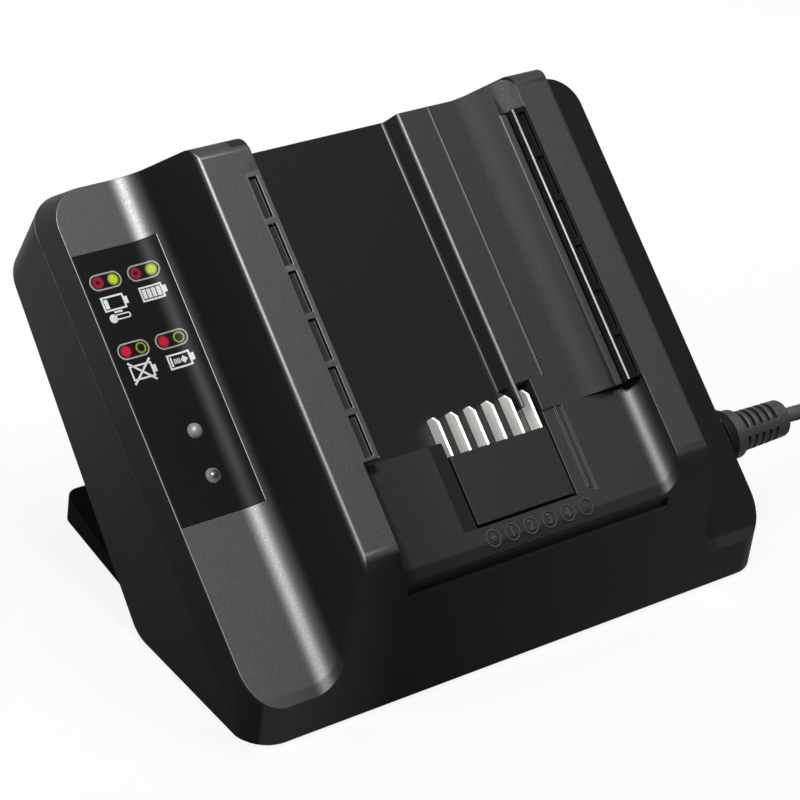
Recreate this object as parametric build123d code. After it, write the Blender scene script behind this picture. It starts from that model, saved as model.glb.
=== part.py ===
from build123d import *
import os
from math import atan2, cos, degrees, pi, radians, sin, tan

# Power tool battery charger: a wedge-shaped housing with a sloping battery dock.
# Row frame: X to the right, Y to the back, Z up, millimetres. The origin lies on the
# table, at mid width, under the front face.
# Slab frame: u = X, v up the slope, w square out of the sloping ledges. Its origin is
# the top edge of the front face. Most of the charger is drawn in it.

os.makedirs("parts", exist_ok=True)

# ---------------------------------------------------------------- driving sizes
SLOPE = 40.5             # of the ledges, from the table, degrees
FOOT_PROUD = 0.8         # rubber feet under the base
FRONT_HEIGHT = 13.6      # front face below the ledges
HALF_WIDTH = 108.0       # at the ledges
SIDE_FALL = 2.3          # the base, narrower than the ledges on each side
LEDGE_LENGTH = 176.0     # up the slope
PARTING_DEPTH = 14.3     # joint of the two shells, below the ledges
PARTING_OVERHANG = 3.5   # top end at the joint, beyond the ledge's end
BACK_SHORTFALL = 2.4     # top end at the back wall, short of the ledge's end
BACK_DEPTH = 40.8        # top end wall, below the ledges
BACK_TAPER = 6.0         # back wall against the ledges, degrees
WALL = 2.5
FRONT_WALL = 4.0
CORNER_RADIUS = 12.0
BACK_EDGE_RADIUS = 6.0
SHELL_GAP = 0.05         # around the gland's neck
VOID_CHAMFER = 8.0       # of the hollow, behind the ledge's fillet

# dock, slab frame
CREST_HEIGHT = 32.0
LEDGE_WIDTH = 30.8       # flat ledge, out to the housing's side
CREST_DRAFT = 5.9        # run of the crest's outer wall, from ledge to crest
CREST_WIDTH = 13.5
LEDGE_FILLET = 10.0
CREST_SETBACK = 5.3      # crest's top end, short of the ledge's
CREST_NOSE = 14.0        # radius at the front end of the crests
CREST_END_RADIUS = 6.0   # at their top end
CREST_EDGE_RADIUS = 1.6  # along their outer edge
PLATE_DEPTH = 7.5        # terminal plate and raised floor, below the crests
FLOOR_DEPTH = 14.0       # low floor, below the crests
FLOOR_SETBACK = 7.5      # top end of the floors, short of the ledge's
NOTCH_LEAN = 9.5         # of the notch in the top end behind the floors, degrees
STEP_FOOT = 10.6         # low floor's right edge
STEP_HEAD = 12.4         # raised floor's left edge
RIB_LINE = 25.0          # fine rib on the raised floor
RIB_SIZE = 0.6
BANK_START = 35.5        # concave bank beside the right rail
BANK_SETBACK = 0.5       # its upper edge, from the dock's side wall
PLATE_END = 60.0         # upper edge of the terminal plate
PLATE_FILLET = 7.0
LIP_THICKNESS = 1.4      # front lip over its shadow groove
LIP_GROOVE = 4.2
LIP_GROOVE_DEPTH = 1.5

# guide rails
RAIL_START = 60.0
RAIL_END = 158.7
RAIL_REACH = 6.2         # of each lip, from the dock's side wall
RAIL_LIP = 3.0
RAIL_DEPTH = 4.5         # floor of the right channel, below the crests
RAIL_CHANNEL = 9.1       # its width
WINDOW_COUNT = 6
WINDOW_PITCH = 16.3
WINDOW_LENGTH = 14.0
WINDOW_FIRST = 61.3
WINDOW_WIDTH = 3.0
WINDOW_INSET = 1.4       # from the dock's side wall
WINDOW_DEPTH = 1.4

# terminals
POCKET_HALF = 27.5       # shallow recess around the block
POCKET_START = 30.4
POCKET_END = 71.0
BLOCK_LEFT = -21.2
BLOCK_RIGHT = 18.8
BLOCK_END = 55.0
BLOCK_DROP = 0.6         # block's top and the recess, below the plate
BLOCK_GAP = 0.8          # groove on each side of the block
BLOCK_SETBACK = 1.0      # of the block's and the bead's lower end, from the recess's
RIB_WALL = 1.5           # rib of the raised floor that runs on between two blades
RIB_WALL_START = 63.0
STRIP_LEFT = 24.6        # bead along the recess, beside the block
STRIP_RIGHT = 25.6
BLADE_COUNT = 6
BLADE_PITCH = 7.4
BLADE_FIRST = -19.7
BLADE_THICK = 0.9
BLADE_LENGTH = 14.0
BLADE_HEIGHT = 5.4
BLADE_ROOT = 8.0
BLADE_CHAMFER = 2.2
BLADE_LIFT = 0.2         # above the low floor
BLADE_TAIL = 3.0         # width of its tail through the floor
BLADE_TAIL_DROP = 6.0    # tail below the floor's underside
BLADE_LEAD_RADIUS = 0.8

# indicator panel
PANEL_START = 62.8
PANEL_LENGTH = 91.6
PANEL_THICK = 0.8
PANEL_EDGE = 0.7         # from the ledge's outer edge
PANEL_WRAP = 50.0        # how far it runs up the ledge's fillet, degrees
LED_INSET = 18.1         # from the housing's side
LED_PLACES = (75.7, 91.0)
LED_RADIUS = 2.6
LED_PROUD = 1.9
LED_CLEAR = 0.1
LED_LENGTH = 8.6         # from flange to dome
LED_FLANGE = 0.35        # beyond its radius
LED_FLANGE_THICK = 1.0
LED_LEG_RADIUS = 0.3
LED_LEG_ROOT = 0.5       # inside the lamp
LEG_PITCH = 2.54         # of every part's legs

# boards
BOARD_THICK = 1.6
BOARD_INSET = 30.0       # of each side of the board, from the housing's side
BOARD_START = 46.0
BOARD_LENGTH = 104.0
BOARD_LEVEL = -24.0      # upper face, slab frame
POST_RADIUS = 4.0
POST_INSET = 5.0
SCREW_RADIUS = 1.5
SCREW_HEAD_RADIUS = 2.8
SCREW_HEAD_HEIGHT = 2.0
SCREW_GRIP = 6.0         # thread below the board
INDICATOR_LEVEL = -11.0  # upper face
INDICATOR_INSET = 6.5    # of its outer edge, from the housing's side
INDICATOR_WIDTH = 19.0
INDICATOR_START = 58.0
INDICATOR_LENGTH = 50.0
RIBBON_WIDTH = 12.0
RIBBON_THICK = 0.8
RIBBON_LEVEL = -19.0     # its run across to the main board
RIBBON_INSET = 4.0       # from each board's edge

# housing screws
CASE_SCREW_INSET = 16.0  # from the housing's side
CASE_SCREW_V = (22.0, 158.0)
CASE_SCREW_RADIUS = 1.7
CASE_HEAD_RADIUS = 3.3
CASE_HEAD_HEIGHT = 2.4
CASE_SEAT = 9.0          # head's seat, below the joint
CASE_THREAD = 8.0        # shank above the joint
BOSS_RADIUS = 5.4
COUNTERBORE_RADIUS = 3.9

# components on the main board: places (u, v) of their centres, or how far in from
# the board's nearer side and v, then sizes
CORE_PLACE = (-34.0, 72.0)
CORE_SIZE = (42.0, 14.0, 33.0)
CORE_LEG = 12.0
CORE_YOKE = 6.5
WINDING_THICK = 6.5      # beyond the core's centre leg
INPUT_CAP_PLACE = (40.0, 74.0)
INPUT_CAP_RADIUS = 9.0
INPUT_CAP_HEIGHT = 31.0
OUTPUT_CAP_INSET = 16.0
OUTPUT_CAP_V = 104.0
OUTPUT_CAP_PITCH = 13.0
OUTPUT_CAP_COUNT = 3
OUTPUT_CAP_RADIUS = 5.0
OUTPUT_CAP_HEIGHT = 20.0
CHOKE_INSET = 20.0
CHOKE_V = 100.0
CHOKE_RADIUS = 11.0
CHOKE_BORE = 4.5
CHOKE_HEIGHT = 12.0
X_CAP_INSET = 18.0
X_CAP_V = 124.0
X_CAP_SIZE = (18.0, 8.5, 15.0)
RELAY_PLACE = (-36.0, 132.0)
RELAY_SIZE = (19.0, 15.5, 15.5)
FUSE_INSET = 34.0
FUSE_V = 54.0
FUSE_LENGTH = 20.0
FUSE_RADIUS = 2.6
FUSE_CAP = 5.0
FUSE_LIFT = 4.5          # its axis above the board
FUSE_GLASS_STEP = 0.2    # glass inside its caps
FUSE_CLIP_WALL = 0.5
FUSE_CLIP_INSET = 1.0    # from each end of a cap
SINK_THICK = 3.0
SINK_HEIGHT = 30.0
SINK_FIN_COUNT = 5
SINK_FIN = 6.0
SINK_FIN_THICK = 1.4
PRIMARY_SINK = (14.0, 108.0, 40.0)    # u, v of its middle, length along v
SECONDARY_SINK = (-14.0, 116.0, 34.0)
CASE_SIZE = (4.6, 10.0, 15.0)         # of a transistor or rectifier
CASE_LIFT = 6.0          # above the board
CASE_LEG_RADIUS = 0.5

# mains cord
CORD_RADIUS = 2.7
CORD_Y = 34.0
CORD_Z = 32.0
GLAND_BOSS_RADIUS = 10.2
GLAND_BOSS_RISE = 4.0    # beyond the housing's side
GLAND_NECK_RADIUS = 4.5
FLANGE_RADIUS = 8.8
FLANGE_THICK = 5.5
SLEEVE_LENGTH = 22.5
SLEEVE_RADIUS = 7.3
SLEEVE_TIP_RADIUS = 6.7
SLEEVE_RINGS = 5
SLEEVE_SLOT = 1.6
SLEEVE_PITCH = 3.5
SLEEVE_FIRST = 1.4       # first slot, from the flange
SLEEVE_CORE = 3.2
SLEEVE_SPINE = 1.5       # half thickness
SLEEVE_TURN = 30.0       # of its spine, from level, degrees
GLAND_SNAP = 3.0         # collar inside the wall
GLAND_SNAP_RADIUS = 6.2
GLAND_SNAP_CLEAR = 0.5   # from the wall
CLAMP_SETBACK = 26.0     # of the clamp, from the housing's side
CLAMP_WIDTH = 7.0
CLAMP_SPAN = 7.8         # from the cord to each screw
CLAMP_THICK = 2.6
CLAMP_BOSS_RADIUS = 3.0
CLAMP_SCREW_RADIUS = 1.3
CLAMP_HEAD_RADIUS = 2.4
CLAMP_THREAD = 5.0
LEAD_INSET = 12.0        # where the inner lead enters the board, from its side
LEAD_END_V = 56.0
LEAD_BEND = 6.8

# The cord's free stretch, from the sleeve to the coil on the table.
CORD_ROUTE = [
    (155.0, 34.0, 32.0),
    (169.5, 36.0, 26.0),
    (180.5, 42.0, 12.5),
    (190.5, 51.0, 4.2),
    (203.0, 58.8, 2.8),
]
BEND_SHARE = 0.45        # of the shorter run, taken by each arc
CORD_LIFT = 0.1          # of the lowest turn above the table
COIL_CENTRE = (210.0, 19.6)
COIL_FIRST = 23.6        # radius of the innermost turn
COIL_TURNS = 4           # in each layer
COIL_LAYERS = 2
END_ROUTE = [
    (249.8, 22.0, 7.9),
    (250.2, 8.0, 7.2),
    (250.2, -4.0, 7.2),
]
PLUG_TAIL = 15.0
PLUG_TAIL_RADIUS = 4.4
PLUG_TAIL_FLARE = 1.5    # wider at the body
PLUG_WIDTH = 35.0
PLUG_LENGTH = 36.0
PLUG_HEIGHT = 14.4
PLUG_CORNER = 7.0
PLUG_EDGE = 2.5
PIN_SPACING = 18.6
PLUG_PIN_RADIUS = 2.0
PLUG_PIN_LENGTH = 19.0
PLUG_PIN_ROOT = 8.0      # held in the plug

# stand
HINGE_Y = 69.5
HINGE_RISE = 4.0         # above the base plane
PIN_RADIUS = 1.5
PIN_CLEAR = 0.05
LUG_RADIUS = 3.5
LUG_WIDTH = 16.0
LUG_INSET = 42.0         # of each lug's middle, from the housing's side
LUG_CLEAR = 0.4
STAND_START = 76.0
STAND_END = 137.0
STAND_INSET = 10.4       # of its front corners, from the housing's side
STAND_TAPER = 7.2        # its rear edge, shorter at each side
STAND_RISE = 6.9         # of its upper face, degrees
STAND_SEAT = 2.2         # upper face below the hinge axis
STAND_CORNER = 5.0
STAND_RIB = 8.0          # border around the hollow underside
STAND_SKIN = 2.0
PIN_SEAT = 4.5           # of a hinge pin in the housing, each side
LUG_GAP = 0.4            # beside a lug
HINGE_WALL = 2.5         # of the housing around the lug's notch
HINGE_END_WALL = 1.0     # beyond the pins' ends
LUG_ARM = 4.0            # of the arm, into the stand
BASE_EDGE_RADIUS = 11.0  # rear edge of the base

# feet, plate and stand pads
FOOT_RADIUS = 6.0
FOOT_RECESS = 1.0
FOOT_INSET = 20.0        # from the housing's side
FOOT_PLACES = (18.0, 53.0)
PAD_Y = 128.0
PAD_INSET = 33.0         # from the housing's side
PAD_RADIUS = 5.0
PLATE_THICK = 0.3
PLATE_HALF = 32.0
PLATE_START = 118.0
PLATE_LENGTH = 36.0

# ---------------------------------------------------------------- derived sizes
S = sin(radians(SLOPE))
C = cos(radians(SLOPE))
LEDGE_Z = FRONT_HEIGHT + FOOT_PROUD
SLAB = Plane(origin=(0, 0, LEDGE_Z), x_dir=(1, 0, 0), z_dir=(0, -S, C)).location
END_V = LEDGE_LENGTH + PARTING_OVERHANG
PLATE_LEVEL = CREST_HEIGHT - PLATE_DEPTH
FLOOR_LEVEL = CREST_HEIGHT - FLOOR_DEPTH
RAIL_FLOOR = CREST_HEIGHT - RAIL_DEPTH
BACK_END = LEDGE_LENGTH - BACK_SHORTFALL
BACK_RISE = tan(radians(BACK_TAPER))
SIDE_DRAFT = SIDE_FALL / BACK_DEPTH
WALL_FOOT = HALF_WIDTH - LEDGE_WIDTH
CREST_OUTER = WALL_FOOT - CREST_DRAFT
DOCK_HALF = CREST_OUTER - CREST_WIDTH
RAIL_EDGE = DOCK_HALF - RAIL_REACH
RAIL_BANK = DOCK_HALF - RAIL_CHANNEL
BANK_END = DOCK_HALF - BANK_SETBACK
LUG_X = HALF_WIDTH - LUG_INSET
PAD_X = HALF_WIDTH - PAD_INSET
STAND_HALF_FRONT = HALF_WIDTH - STAND_INSET
STAND_HALF_REAR = STAND_HALF_FRONT - STAND_TAPER
BOARD_UNDER = BOARD_LEVEL - BOARD_THICK
BOARD_HALF_U = HALF_WIDTH - BOARD_INSET
OUTPUT_CAP_PLACE = (OUTPUT_CAP_INSET - BOARD_HALF_U, OUTPUT_CAP_V)
CHOKE_PLACE = (BOARD_HALF_U - CHOKE_INSET, CHOKE_V)
X_CAP_PLACE = (BOARD_HALF_U - X_CAP_INSET, X_CAP_V)
FUSE_PLACE = (BOARD_HALF_U - FUSE_INSET, FUSE_V)
GLAND_BOSS_END = HALF_WIDTH + GLAND_BOSS_RISE
SLEEVE_END = GLAND_BOSS_END + FLANGE_THICK + SLEEVE_LENGTH
CLAMP_U = HALF_WIDTH - CLAMP_SETBACK
LEAD_TURN_U = BOARD_HALF_U - LEAD_INSET
CASE_SCREW_U = HALF_WIDTH - CASE_SCREW_INSET
FOOT_X = HALF_WIDTH - FOOT_INSET
RIBBON_END_U = -BOARD_HALF_U + RIBBON_INSET
INDICATOR_U = -HALF_WIDTH + INDICATOR_INSET
LED_U = -HALF_WIDTH + LED_INSET
RIBBON_U = INDICATOR_U + INDICATOR_WIDTH - RIBBON_INSET
PARTING_W = -PARTING_DEPTH
WALL_RUN = CREST_DRAFT / CREST_HEIGHT
FAR = 400.0              # longer than the charger, for cutting
OVERCUT = 1.0            # of a cut beyond the face that it opens, or of a root inside its base
DEEP = -2 * BACK_DEPTH   # below every point of the shells, slab frame
CUT_TOP = CREST_HEIGHT + OVERCUT
GLAND_SNAP_END = HALF_WIDTH - WALL - GLAND_SNAP_CLEAR
BLADE_TAIL_END = FLOOR_LEVEL - WALL - BLADE_TAIL_DROP
TRIM = 0.002             # keeps a trimming face off the face that it follows


def slab_point(y, z):
    """Slab coordinates (v, w) of a point (y, z) of the row frame."""
    return (C * y + S * (z - LEDGE_Z), -S * y + C * (z - LEDGE_Z))


def row_point(u, v, w):
    """Row coordinates of a slab point."""
    return Vector(u, C * v - S * w, LEDGE_Z + S * v + C * w)


def back_w(v, inset=0.0):
    """The back wall's outer face moved inward by inset, slab frame."""
    return inset / cos(radians(BACK_TAPER)) - BACK_DEPTH - (BACK_END - v) * BACK_RISE


def base_w(v, level=0.0):
    """The base's plane moved up by level, slab frame."""
    return (FOOT_PROUD + level - LEDGE_Z - S * v) / C


def joint_v(level=0.0):
    """Where the joint of the shells meets the base moved up by level."""
    return (FOOT_PROUD + level - LEDGE_Z + C * PARTING_DEPTH) / S


def base_corner_v(inset=0.0):
    """Where the back wall and the base, both moved inward by inset, meet."""
    depth = BACK_DEPTH - inset / cos(radians(BACK_TAPER)) + BACK_END * BACK_RISE
    return (C * depth - (LEDGE_Z - FOOT_PROUD) + inset) / (S + C * BACK_RISE)


def polygon(points, direction):
    """Prism on a closed polygon of 3-D points."""
    return Solid.extrude(Face(Wire.make_polygon(points, close=True)), direction)


def across(points, half):
    """Prism along u on (v, w) points, centred."""
    return polygon([Vector(-half, v, w) for v, w in points], Vector(2 * half, 0, 0))


def along(points, v0, v1):
    """Prism along v on (u, w) points."""
    return polygon([Vector(u, v0, w) for u, w in points], Vector(0, v1 - v0, 0))


def block(u0, u1, v0, v1, w0, w1):
    """Box between two corners, in whichever frame it is used."""
    middle = Pos((u0 + u1) / 2, (v0 + v1) / 2, (w0 + w1) / 2)
    return middle * Box(u1 - u0, v1 - v0, w1 - w0)


def rod(radius, start, end):
    """Cylinder from start to end."""
    start, end = Vector(*start), Vector(*end)
    axis = end - start
    return Solid.make_cylinder(radius, axis.length, Plane(origin=start, z_dir=axis))


def cone(r0, r1, start, end):
    start, end = Vector(*start), Vector(*end)
    axis = end - start
    return Solid.make_cone(r0, r1, axis.length, Plane(origin=start, z_dir=axis))


def edges_along(shape, direction, test):
    """Straight edges parallel to a direction whose centre passes a test."""
    way = Vector(*direction).normalized()
    found = []
    for edge in shape.edges():
        if edge.geom_type != GeomType.LINE:
            continue
        if abs(edge.tangent_at(0.5).dot(way)) > 0.999 and test(edge.center()):
            found.append(edge)
    return found


def group(shapes):
    """One compound of loose solids."""
    return Compound([solid for shape in shapes for solid in shape.solids()])


def outline_face(*pieces):
    """Face inside a closed outline of curves drawn in (u, w), standing across v."""
    face = Face(Wire([edge for piece in pieces for edge in piece.edges()]))
    return Plane(origin=(0, 0, 0), x_dir=(1, 0, 0), z_dir=(0, -1, 0)).location * face


def save(name, shape):
    shape.label = name
    export_step(shape, f"parts/{name}.step")


# ---------------------------------------------------------------- upper housing
def front_point(w, inset=0.0):
    """Point (v, w) on the vertical front face, moved back by inset."""
    return ((inset + S * w) / C, w)


def upper_section(inset):
    """Outline (u, w) across the ledges and crests, moved inward by inset."""
    side = HALF_WIDTH - inset
    foot = WALL_FOOT - inset
    crest = CREST_OUTER - inset + WALL_RUN * inset
    low = PARTING_W - WALL
    return [(-side, low), (-side, -inset), (-foot, -inset), (-crest, CREST_HEIGHT - inset),
            (crest, CREST_HEIGHT - inset), (foot, -inset), (side, -inset), (side, low)]


def upper_body():
    """Solid of the upper shell before it is hollowed."""
    points = [(u, 0, w) for u, w in upper_section(0)]
    radii = [0, 0, LEDGE_FILLET, CREST_EDGE_RADIUS, CREST_EDGE_RADIUS, LEDGE_FILLET, 0, 0]
    outline = FilletPolyline(*points, radius=radii, close=True)
    body = Solid.extrude(Face(Wire(outline.edges())), Vector(0, FAR, 0)).moved(Pos(0, -FAR / 4, 0))

    low_v, low_w = slab_point(0, FOOT_PROUD)
    side = [(low_v, low_w), front_point(CREST_HEIGHT + TRIM),
            (LEDGE_LENGTH - CREST_SETBACK, CREST_HEIGHT + TRIM), (LEDGE_LENGTH, 0),
            (END_V, PARTING_W), (joint_v(), PARTING_W)]
    profile = FilletPolyline(*[(-FAR / 2, v, w) for v, w in side],
                             radius=[0, CREST_NOSE, CREST_END_RADIUS, 0, 0, 0], close=True)
    body = body & Solid.extrude(Face(Wire(profile.edges())), Vector(FAR, 0, 0))

    for side in (-1, 1):
        body = body - upper_end_corner(side) - SLAB.inverse() * front_corner(side)
    return body


def corner_face(side, u, v, radius):
    """Face at w = 0 between a square corner at (u, v) and its rounding."""
    square = Polyline((side * u, v - radius), (side * (u + WALL), v - radius), (side * (u + WALL), v + WALL),
                      (side * (u - radius), v + WALL), (side * (u - radius), v))
    arc = RadiusArc((side * (u - radius), v), (side * u, v - radius), side * radius)
    return Face(Wire(square.edges() + arc.edges()))


def upper_end_corner(side, inset=0.0):
    """What a rounded top end corner takes off the upper shell."""
    face = corner_face(side, HALF_WIDTH - inset, LEDGE_LENGTH - inset, CORNER_RADIUS - inset)
    lean = Vector(0, PARTING_OVERHANG, PARTING_W)
    return Solid.extrude(face.moved(Pos(*(lean * -1))), lean * 3)


def front_corner(side, inset=0.0):
    """What a rounded front corner takes off either shell, row frame."""
    radius = CORNER_RADIUS - inset
    face = corner_face(side, HALF_WIDTH - inset, 0, radius).mirror(Plane.XZ)
    low = Pos(0, FRONT_WALL * (inset > 0), -WALL)
    return Solid.extrude(face.moved(low), Vector(0, 0, LEDGE_Z + FRONT_HEIGHT + WALL))


def dock_section():
    """Outline across the dock above its floors, with the concave bank on the right."""
    rise = CREST_HEIGHT - PLATE_LEVEL
    run = BANK_END - BANK_START
    radius = (run * run + rise * rise) / (2 * rise)
    bank = CenterArc((BANK_START, PLATE_LEVEL + radius), radius, -90, degrees(2 * atan2(rise, run)))
    floor = Polyline((BANK_END, CREST_HEIGHT), (BANK_END, CUT_TOP), (-RAIL_EDGE, CUT_TOP),
                     (-RAIL_EDGE, FLOOR_LEVEL), (STEP_FOOT, FLOOR_LEVEL), (STEP_HEAD, PLATE_LEVEL),
                     (BANK_START, PLATE_LEVEL))
    return outline_face(floor, bank)


def dock_cut():
    """Space between the crests, above the floors."""
    plate = [(-DOCK_HALF, 0, PLATE_LEVEL), (DOCK_HALF, 0, PLATE_LEVEL), (DOCK_HALF, 0, CUT_TOP),
             (-DOCK_HALF, 0, CUT_TOP)]
    outline = FilletPolyline(*plate, radius=[PLATE_FILLET, PLATE_FILLET, 0, 0], close=True)
    low = Solid.extrude(Face(Wire(outline.edges())), Vector(0, PLATE_END + FAR, 0))
    low = low.moved(Pos(0, -FAR, 0))

    high = Solid.extrude(dock_section(), Vector(0, FAR, 0)).moved(Pos(0, PLATE_END, 0))

    left = block(-DOCK_HALF, -RAIL_EDGE + OVERCUT, RAIL_START, RAIL_END, FLOOR_LEVEL, CUT_TOP)
    right = block(RAIL_BANK, DOCK_HALF, RAIL_START, RAIL_END, RAIL_FLOOR, CUT_TOP)
    recess = block(-POCKET_HALF, POCKET_HALF, POCKET_START, PLATE_END, PLATE_LEVEL - BLOCK_DROP, CUT_TOP)
    pocket = block(BLOCK_LEFT - BLOCK_GAP, BLOCK_RIGHT + BLOCK_GAP, POCKET_START, POCKET_END,
                   FLOOR_LEVEL, CUT_TOP)
    return [low, high, left, right, recess, pocket]


def rail_lip(side):
    """Lip of one guide rail, with its row of windows, seated on the dock's side wall."""
    under = CREST_HEIGHT - RAIL_LIP
    near, far = sorted((side * RAIL_EDGE, side * DOCK_HALF))
    body = block(near, far, RAIL_START, RAIL_END, under, CREST_HEIGHT)
    outer = DOCK_HALF - WINDOW_INSET
    near, far = sorted((side * outer, side * (outer - WINDOW_WIDTH)))
    for i in range(WINDOW_COUNT):
        start = WINDOW_FIRST + i * WINDOW_PITCH
        body = body - block(near, far, start, start + WINDOW_LENGTH, CREST_HEIGHT - WINDOW_DEPTH, CUT_TOP)
    return body


def upper_void():
    """Inside of the upper shell."""
    outline = upper_section(WALL)
    low = outline[0][1]
    side, foot = HALF_WIDTH - WALL, WALL_FOOT - WALL
    crest_u, crest_w = outline[4][0], outline[4][1]
    inner = DOCK_HALF + WALL
    floor = FLOOR_LEVEL - WALL
    plate = PLATE_LEVEL - WALL
    wall_u = foot - WALL_RUN * (VOID_CHAMFER + WALL)
    left = [(-side, low), (-side, -WALL), (-foot - VOID_CHAMFER, -WALL), (-wall_u, VOID_CHAMFER),
            (-crest_u, crest_w), (-inner, crest_w), (-inner, floor)]
    right = [(inner, RAIL_FLOOR - WALL), (inner, crest_w), (crest_u, crest_w), (wall_u, VOID_CHAMFER),
             (foot + VOID_CHAMFER, -WALL), (side, -WALL), (side, low)]
    step = [(STEP_FOOT + WALL, floor), (STEP_HEAD + WALL, plate), (BANK_START, plate),
            (RAIL_BANK, RAIL_FLOOR - WALL)]
    pocket_wall = POCKET_HALF + WALL
    low_step = [(pocket_wall, floor), (pocket_wall, plate), (RAIL_BANK - WALL, plate)]
    change = POCKET_END + WALL
    void = along(left + low_step + right, -FAR, change).fuse(along(left + step + right, change, FAR))

    profile = [front_point(low, FRONT_WALL), front_point(CREST_HEIGHT, FRONT_WALL),
               (FAR, CREST_HEIGHT), (FAR, low)]
    void = void & across(profile, FAR / 2)
    for edge in (-1, 1):
        void = void - upper_end_corner(edge, WALL) - SLAB.inverse() * front_corner(edge, WALL)
    deep = base_w(FAR, WALL)
    under = across([(-FAR, base_w(-FAR, WALL)), (FAR, deep), (-FAR, deep)], FAR / 2)
    return void - under - behind_notch()


def notch_v(w, inset=0.0):
    """Face of the notch in the top end behind the dock floors, moved inward by inset."""
    lean = radians(NOTCH_LEAN)
    return LEDGE_LENGTH - FLOOR_SETBACK + (FLOOR_LEVEL - w) * tan(lean) - inset / cos(lean)


def end_cut():
    """Notch across both shells where the dock floors end, running out along the bank."""
    edge = notch_v(FLOOR_LEVEL)
    points = [(edge, CUT_TOP), (edge, FLOOR_LEVEL), (notch_v(DEEP), DEEP), (FAR, DEEP), (FAR, CUT_TOP)]
    notch = polygon([Vector(-RAIL_EDGE, v, w) for v, w in points], Vector(RAIL_EDGE + BANK_END, 0, 0))
    run_out = [(BANK_START, edge), (BANK_START, edge - WALL), (BANK_END + OVERCUT, edge - WALL),
               (BANK_END + OVERCUT, LEDGE_LENGTH - CREST_SETBACK)]
    return notch - polygon([Vector(u, v, DEEP - OVERCUT) for u, v in run_out], Vector(0, 0, FAR))


def behind_notch():
    """What the shells' hollows leave solid along the notch."""
    points = [(notch_v(CUT_TOP, WALL), CUT_TOP), (notch_v(DEEP, WALL), DEEP), (FAR, DEEP), (FAR, CUT_TOP)]
    return across(points, FAR / 2)


def lip_groove():
    """Shadow groove in the front face, under the lip of the terminal plate."""
    v, w = front_point(PLATE_LEVEL)
    z = row_point(0, v, w).Z - LIP_THICKNESS
    half = DOCK_HALF - PLATE_FILLET / 2
    return block(-half, half, -FAR, LIP_GROOVE_DEPTH, z - LIP_GROOVE, z)


def panel_body():
    """Indicator panel without its lamp holes: flat on the ledge, then up the ledge's fillet."""
    lean = atan2(CREST_HEIGHT, CREST_DRAFT)
    start = -WALL_FOOT - LEDGE_FILLET * tan(lean / 2)
    edge = -HALF_WIDTH + PANEL_EDGE
    far = LEDGE_FILLET + PANEL_THICK
    top = CenterArc((start, LEDGE_FILLET), LEDGE_FILLET, -90, PANEL_WRAP)
    under = CenterArc((start, LEDGE_FILLET), far, -90, PANEL_WRAP)
    flat = Polyline((start, 0), (edge, 0), (edge, -PANEL_THICK), (start, -PANEL_THICK))
    face = outline_face(flat, top, under, Line(top @ 1, under @ 1))
    return Solid.extrude(face, Vector(0, PANEL_LENGTH, 0)).moved(Pos(0, PANEL_START, 0))


def led_axis(v, w0, w1, radius):
    return rod(radius, (LED_U, v, w0), (LED_U, v, w1))


def hung(outer, radius, place, level):
    """Post under the upper shell's skin, from a level up."""
    u, v = place
    return rod(radius, (u, v, level), (u, v, CREST_HEIGHT)) & outer


def upper_housing():
    outer = upper_body()
    for cut in dock_cut():
        outer = outer - cut
    outer = outer - end_cut() - panel_body()
    body = outer - upper_void()
    body = body.fuse(block(RIB_LINE, RIB_LINE + RIB_SIZE, POCKET_END, LEDGE_LENGTH - FLOOR_SETBACK,
                           PLATE_LEVEL - RIB_SIZE, PLATE_LEVEL + RIB_SIZE / 2))
    for v in LED_PLACES:
        body = body - led_axis(v, -WALL - OVERCUT, OVERCUT, LED_RADIUS + LED_CLEAR)
    for u, v in case_screw_places():
        body = body.fuse(hung(outer, BOSS_RADIUS, (u, v), PARTING_W))
        body = body - rod(CASE_SCREW_RADIUS, (u, v, PARTING_W - OVERCUT), (u, v, PARTING_W + CASE_THREAD))
    for u, v in indicator_posts():
        body = body.fuse(hung(outer, POST_RADIUS, (u, v), INDICATOR_LEVEL))
        hole_end = INDICATOR_LEVEL + SCREW_GRIP
        body = body - rod(SCREW_RADIUS, (u, v, INDICATOR_LEVEL - OVERCUT), (u, v, hole_end))
    for u, v in clamp_places():
        seat = clamp_seat()
        body = body.fuse(hung(outer, CLAMP_BOSS_RADIUS, (u, v), seat))
        body = body - rod(CLAMP_SCREW_RADIUS, (u, v, seat - OVERCUT), (u, v, seat + CLAMP_THREAD))
    saddle = CORD_W + CORD_RADIUS
    body = body.fuse(block(CLAMP_U - CLAMP_WIDTH / 2, CLAMP_U + CLAMP_WIDTH / 2, CORD_V - CORD_RADIUS,
                           CORD_V + CORD_RADIUS, saddle, CREST_HEIGHT) & outer)
    body = body.fuse(block(STEP_HEAD, STEP_HEAD + RIB_WALL, RIB_WALL_START, POCKET_END + OVERCUT,
                           FLOOR_LEVEL - OVERCUT, PLATE_LEVEL))
    body = body.fuse(block(STRIP_LEFT, STRIP_RIGHT, POCKET_START + BLOCK_SETBACK, PLATE_END,
                           PLATE_LEVEL - 2 * BLOCK_DROP, PLATE_LEVEL))
    for u in blade_places():
        body = body - blade(u)
    body = SLAB * body
    body = body - lip_groove()
    inner, boss = gland_boss()
    body = body.fuse(inner & (SLAB * block(-FAR, FAR, -FAR, FAR, PARTING_W, -WALL)))
    body = body.fuse(boss & (SLAB * block(-FAR, FAR, -FAR, FAR, PARTING_W, FAR)))
    body = body - rod(GLAND_NECK_RADIUS + SHELL_GAP, (HALF_WIDTH - 3 * WALL, CORD_Y, CORD_Z),
                      (GLAND_BOSS_END + OVERCUT, CORD_Y, CORD_Z))
    return body


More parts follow.
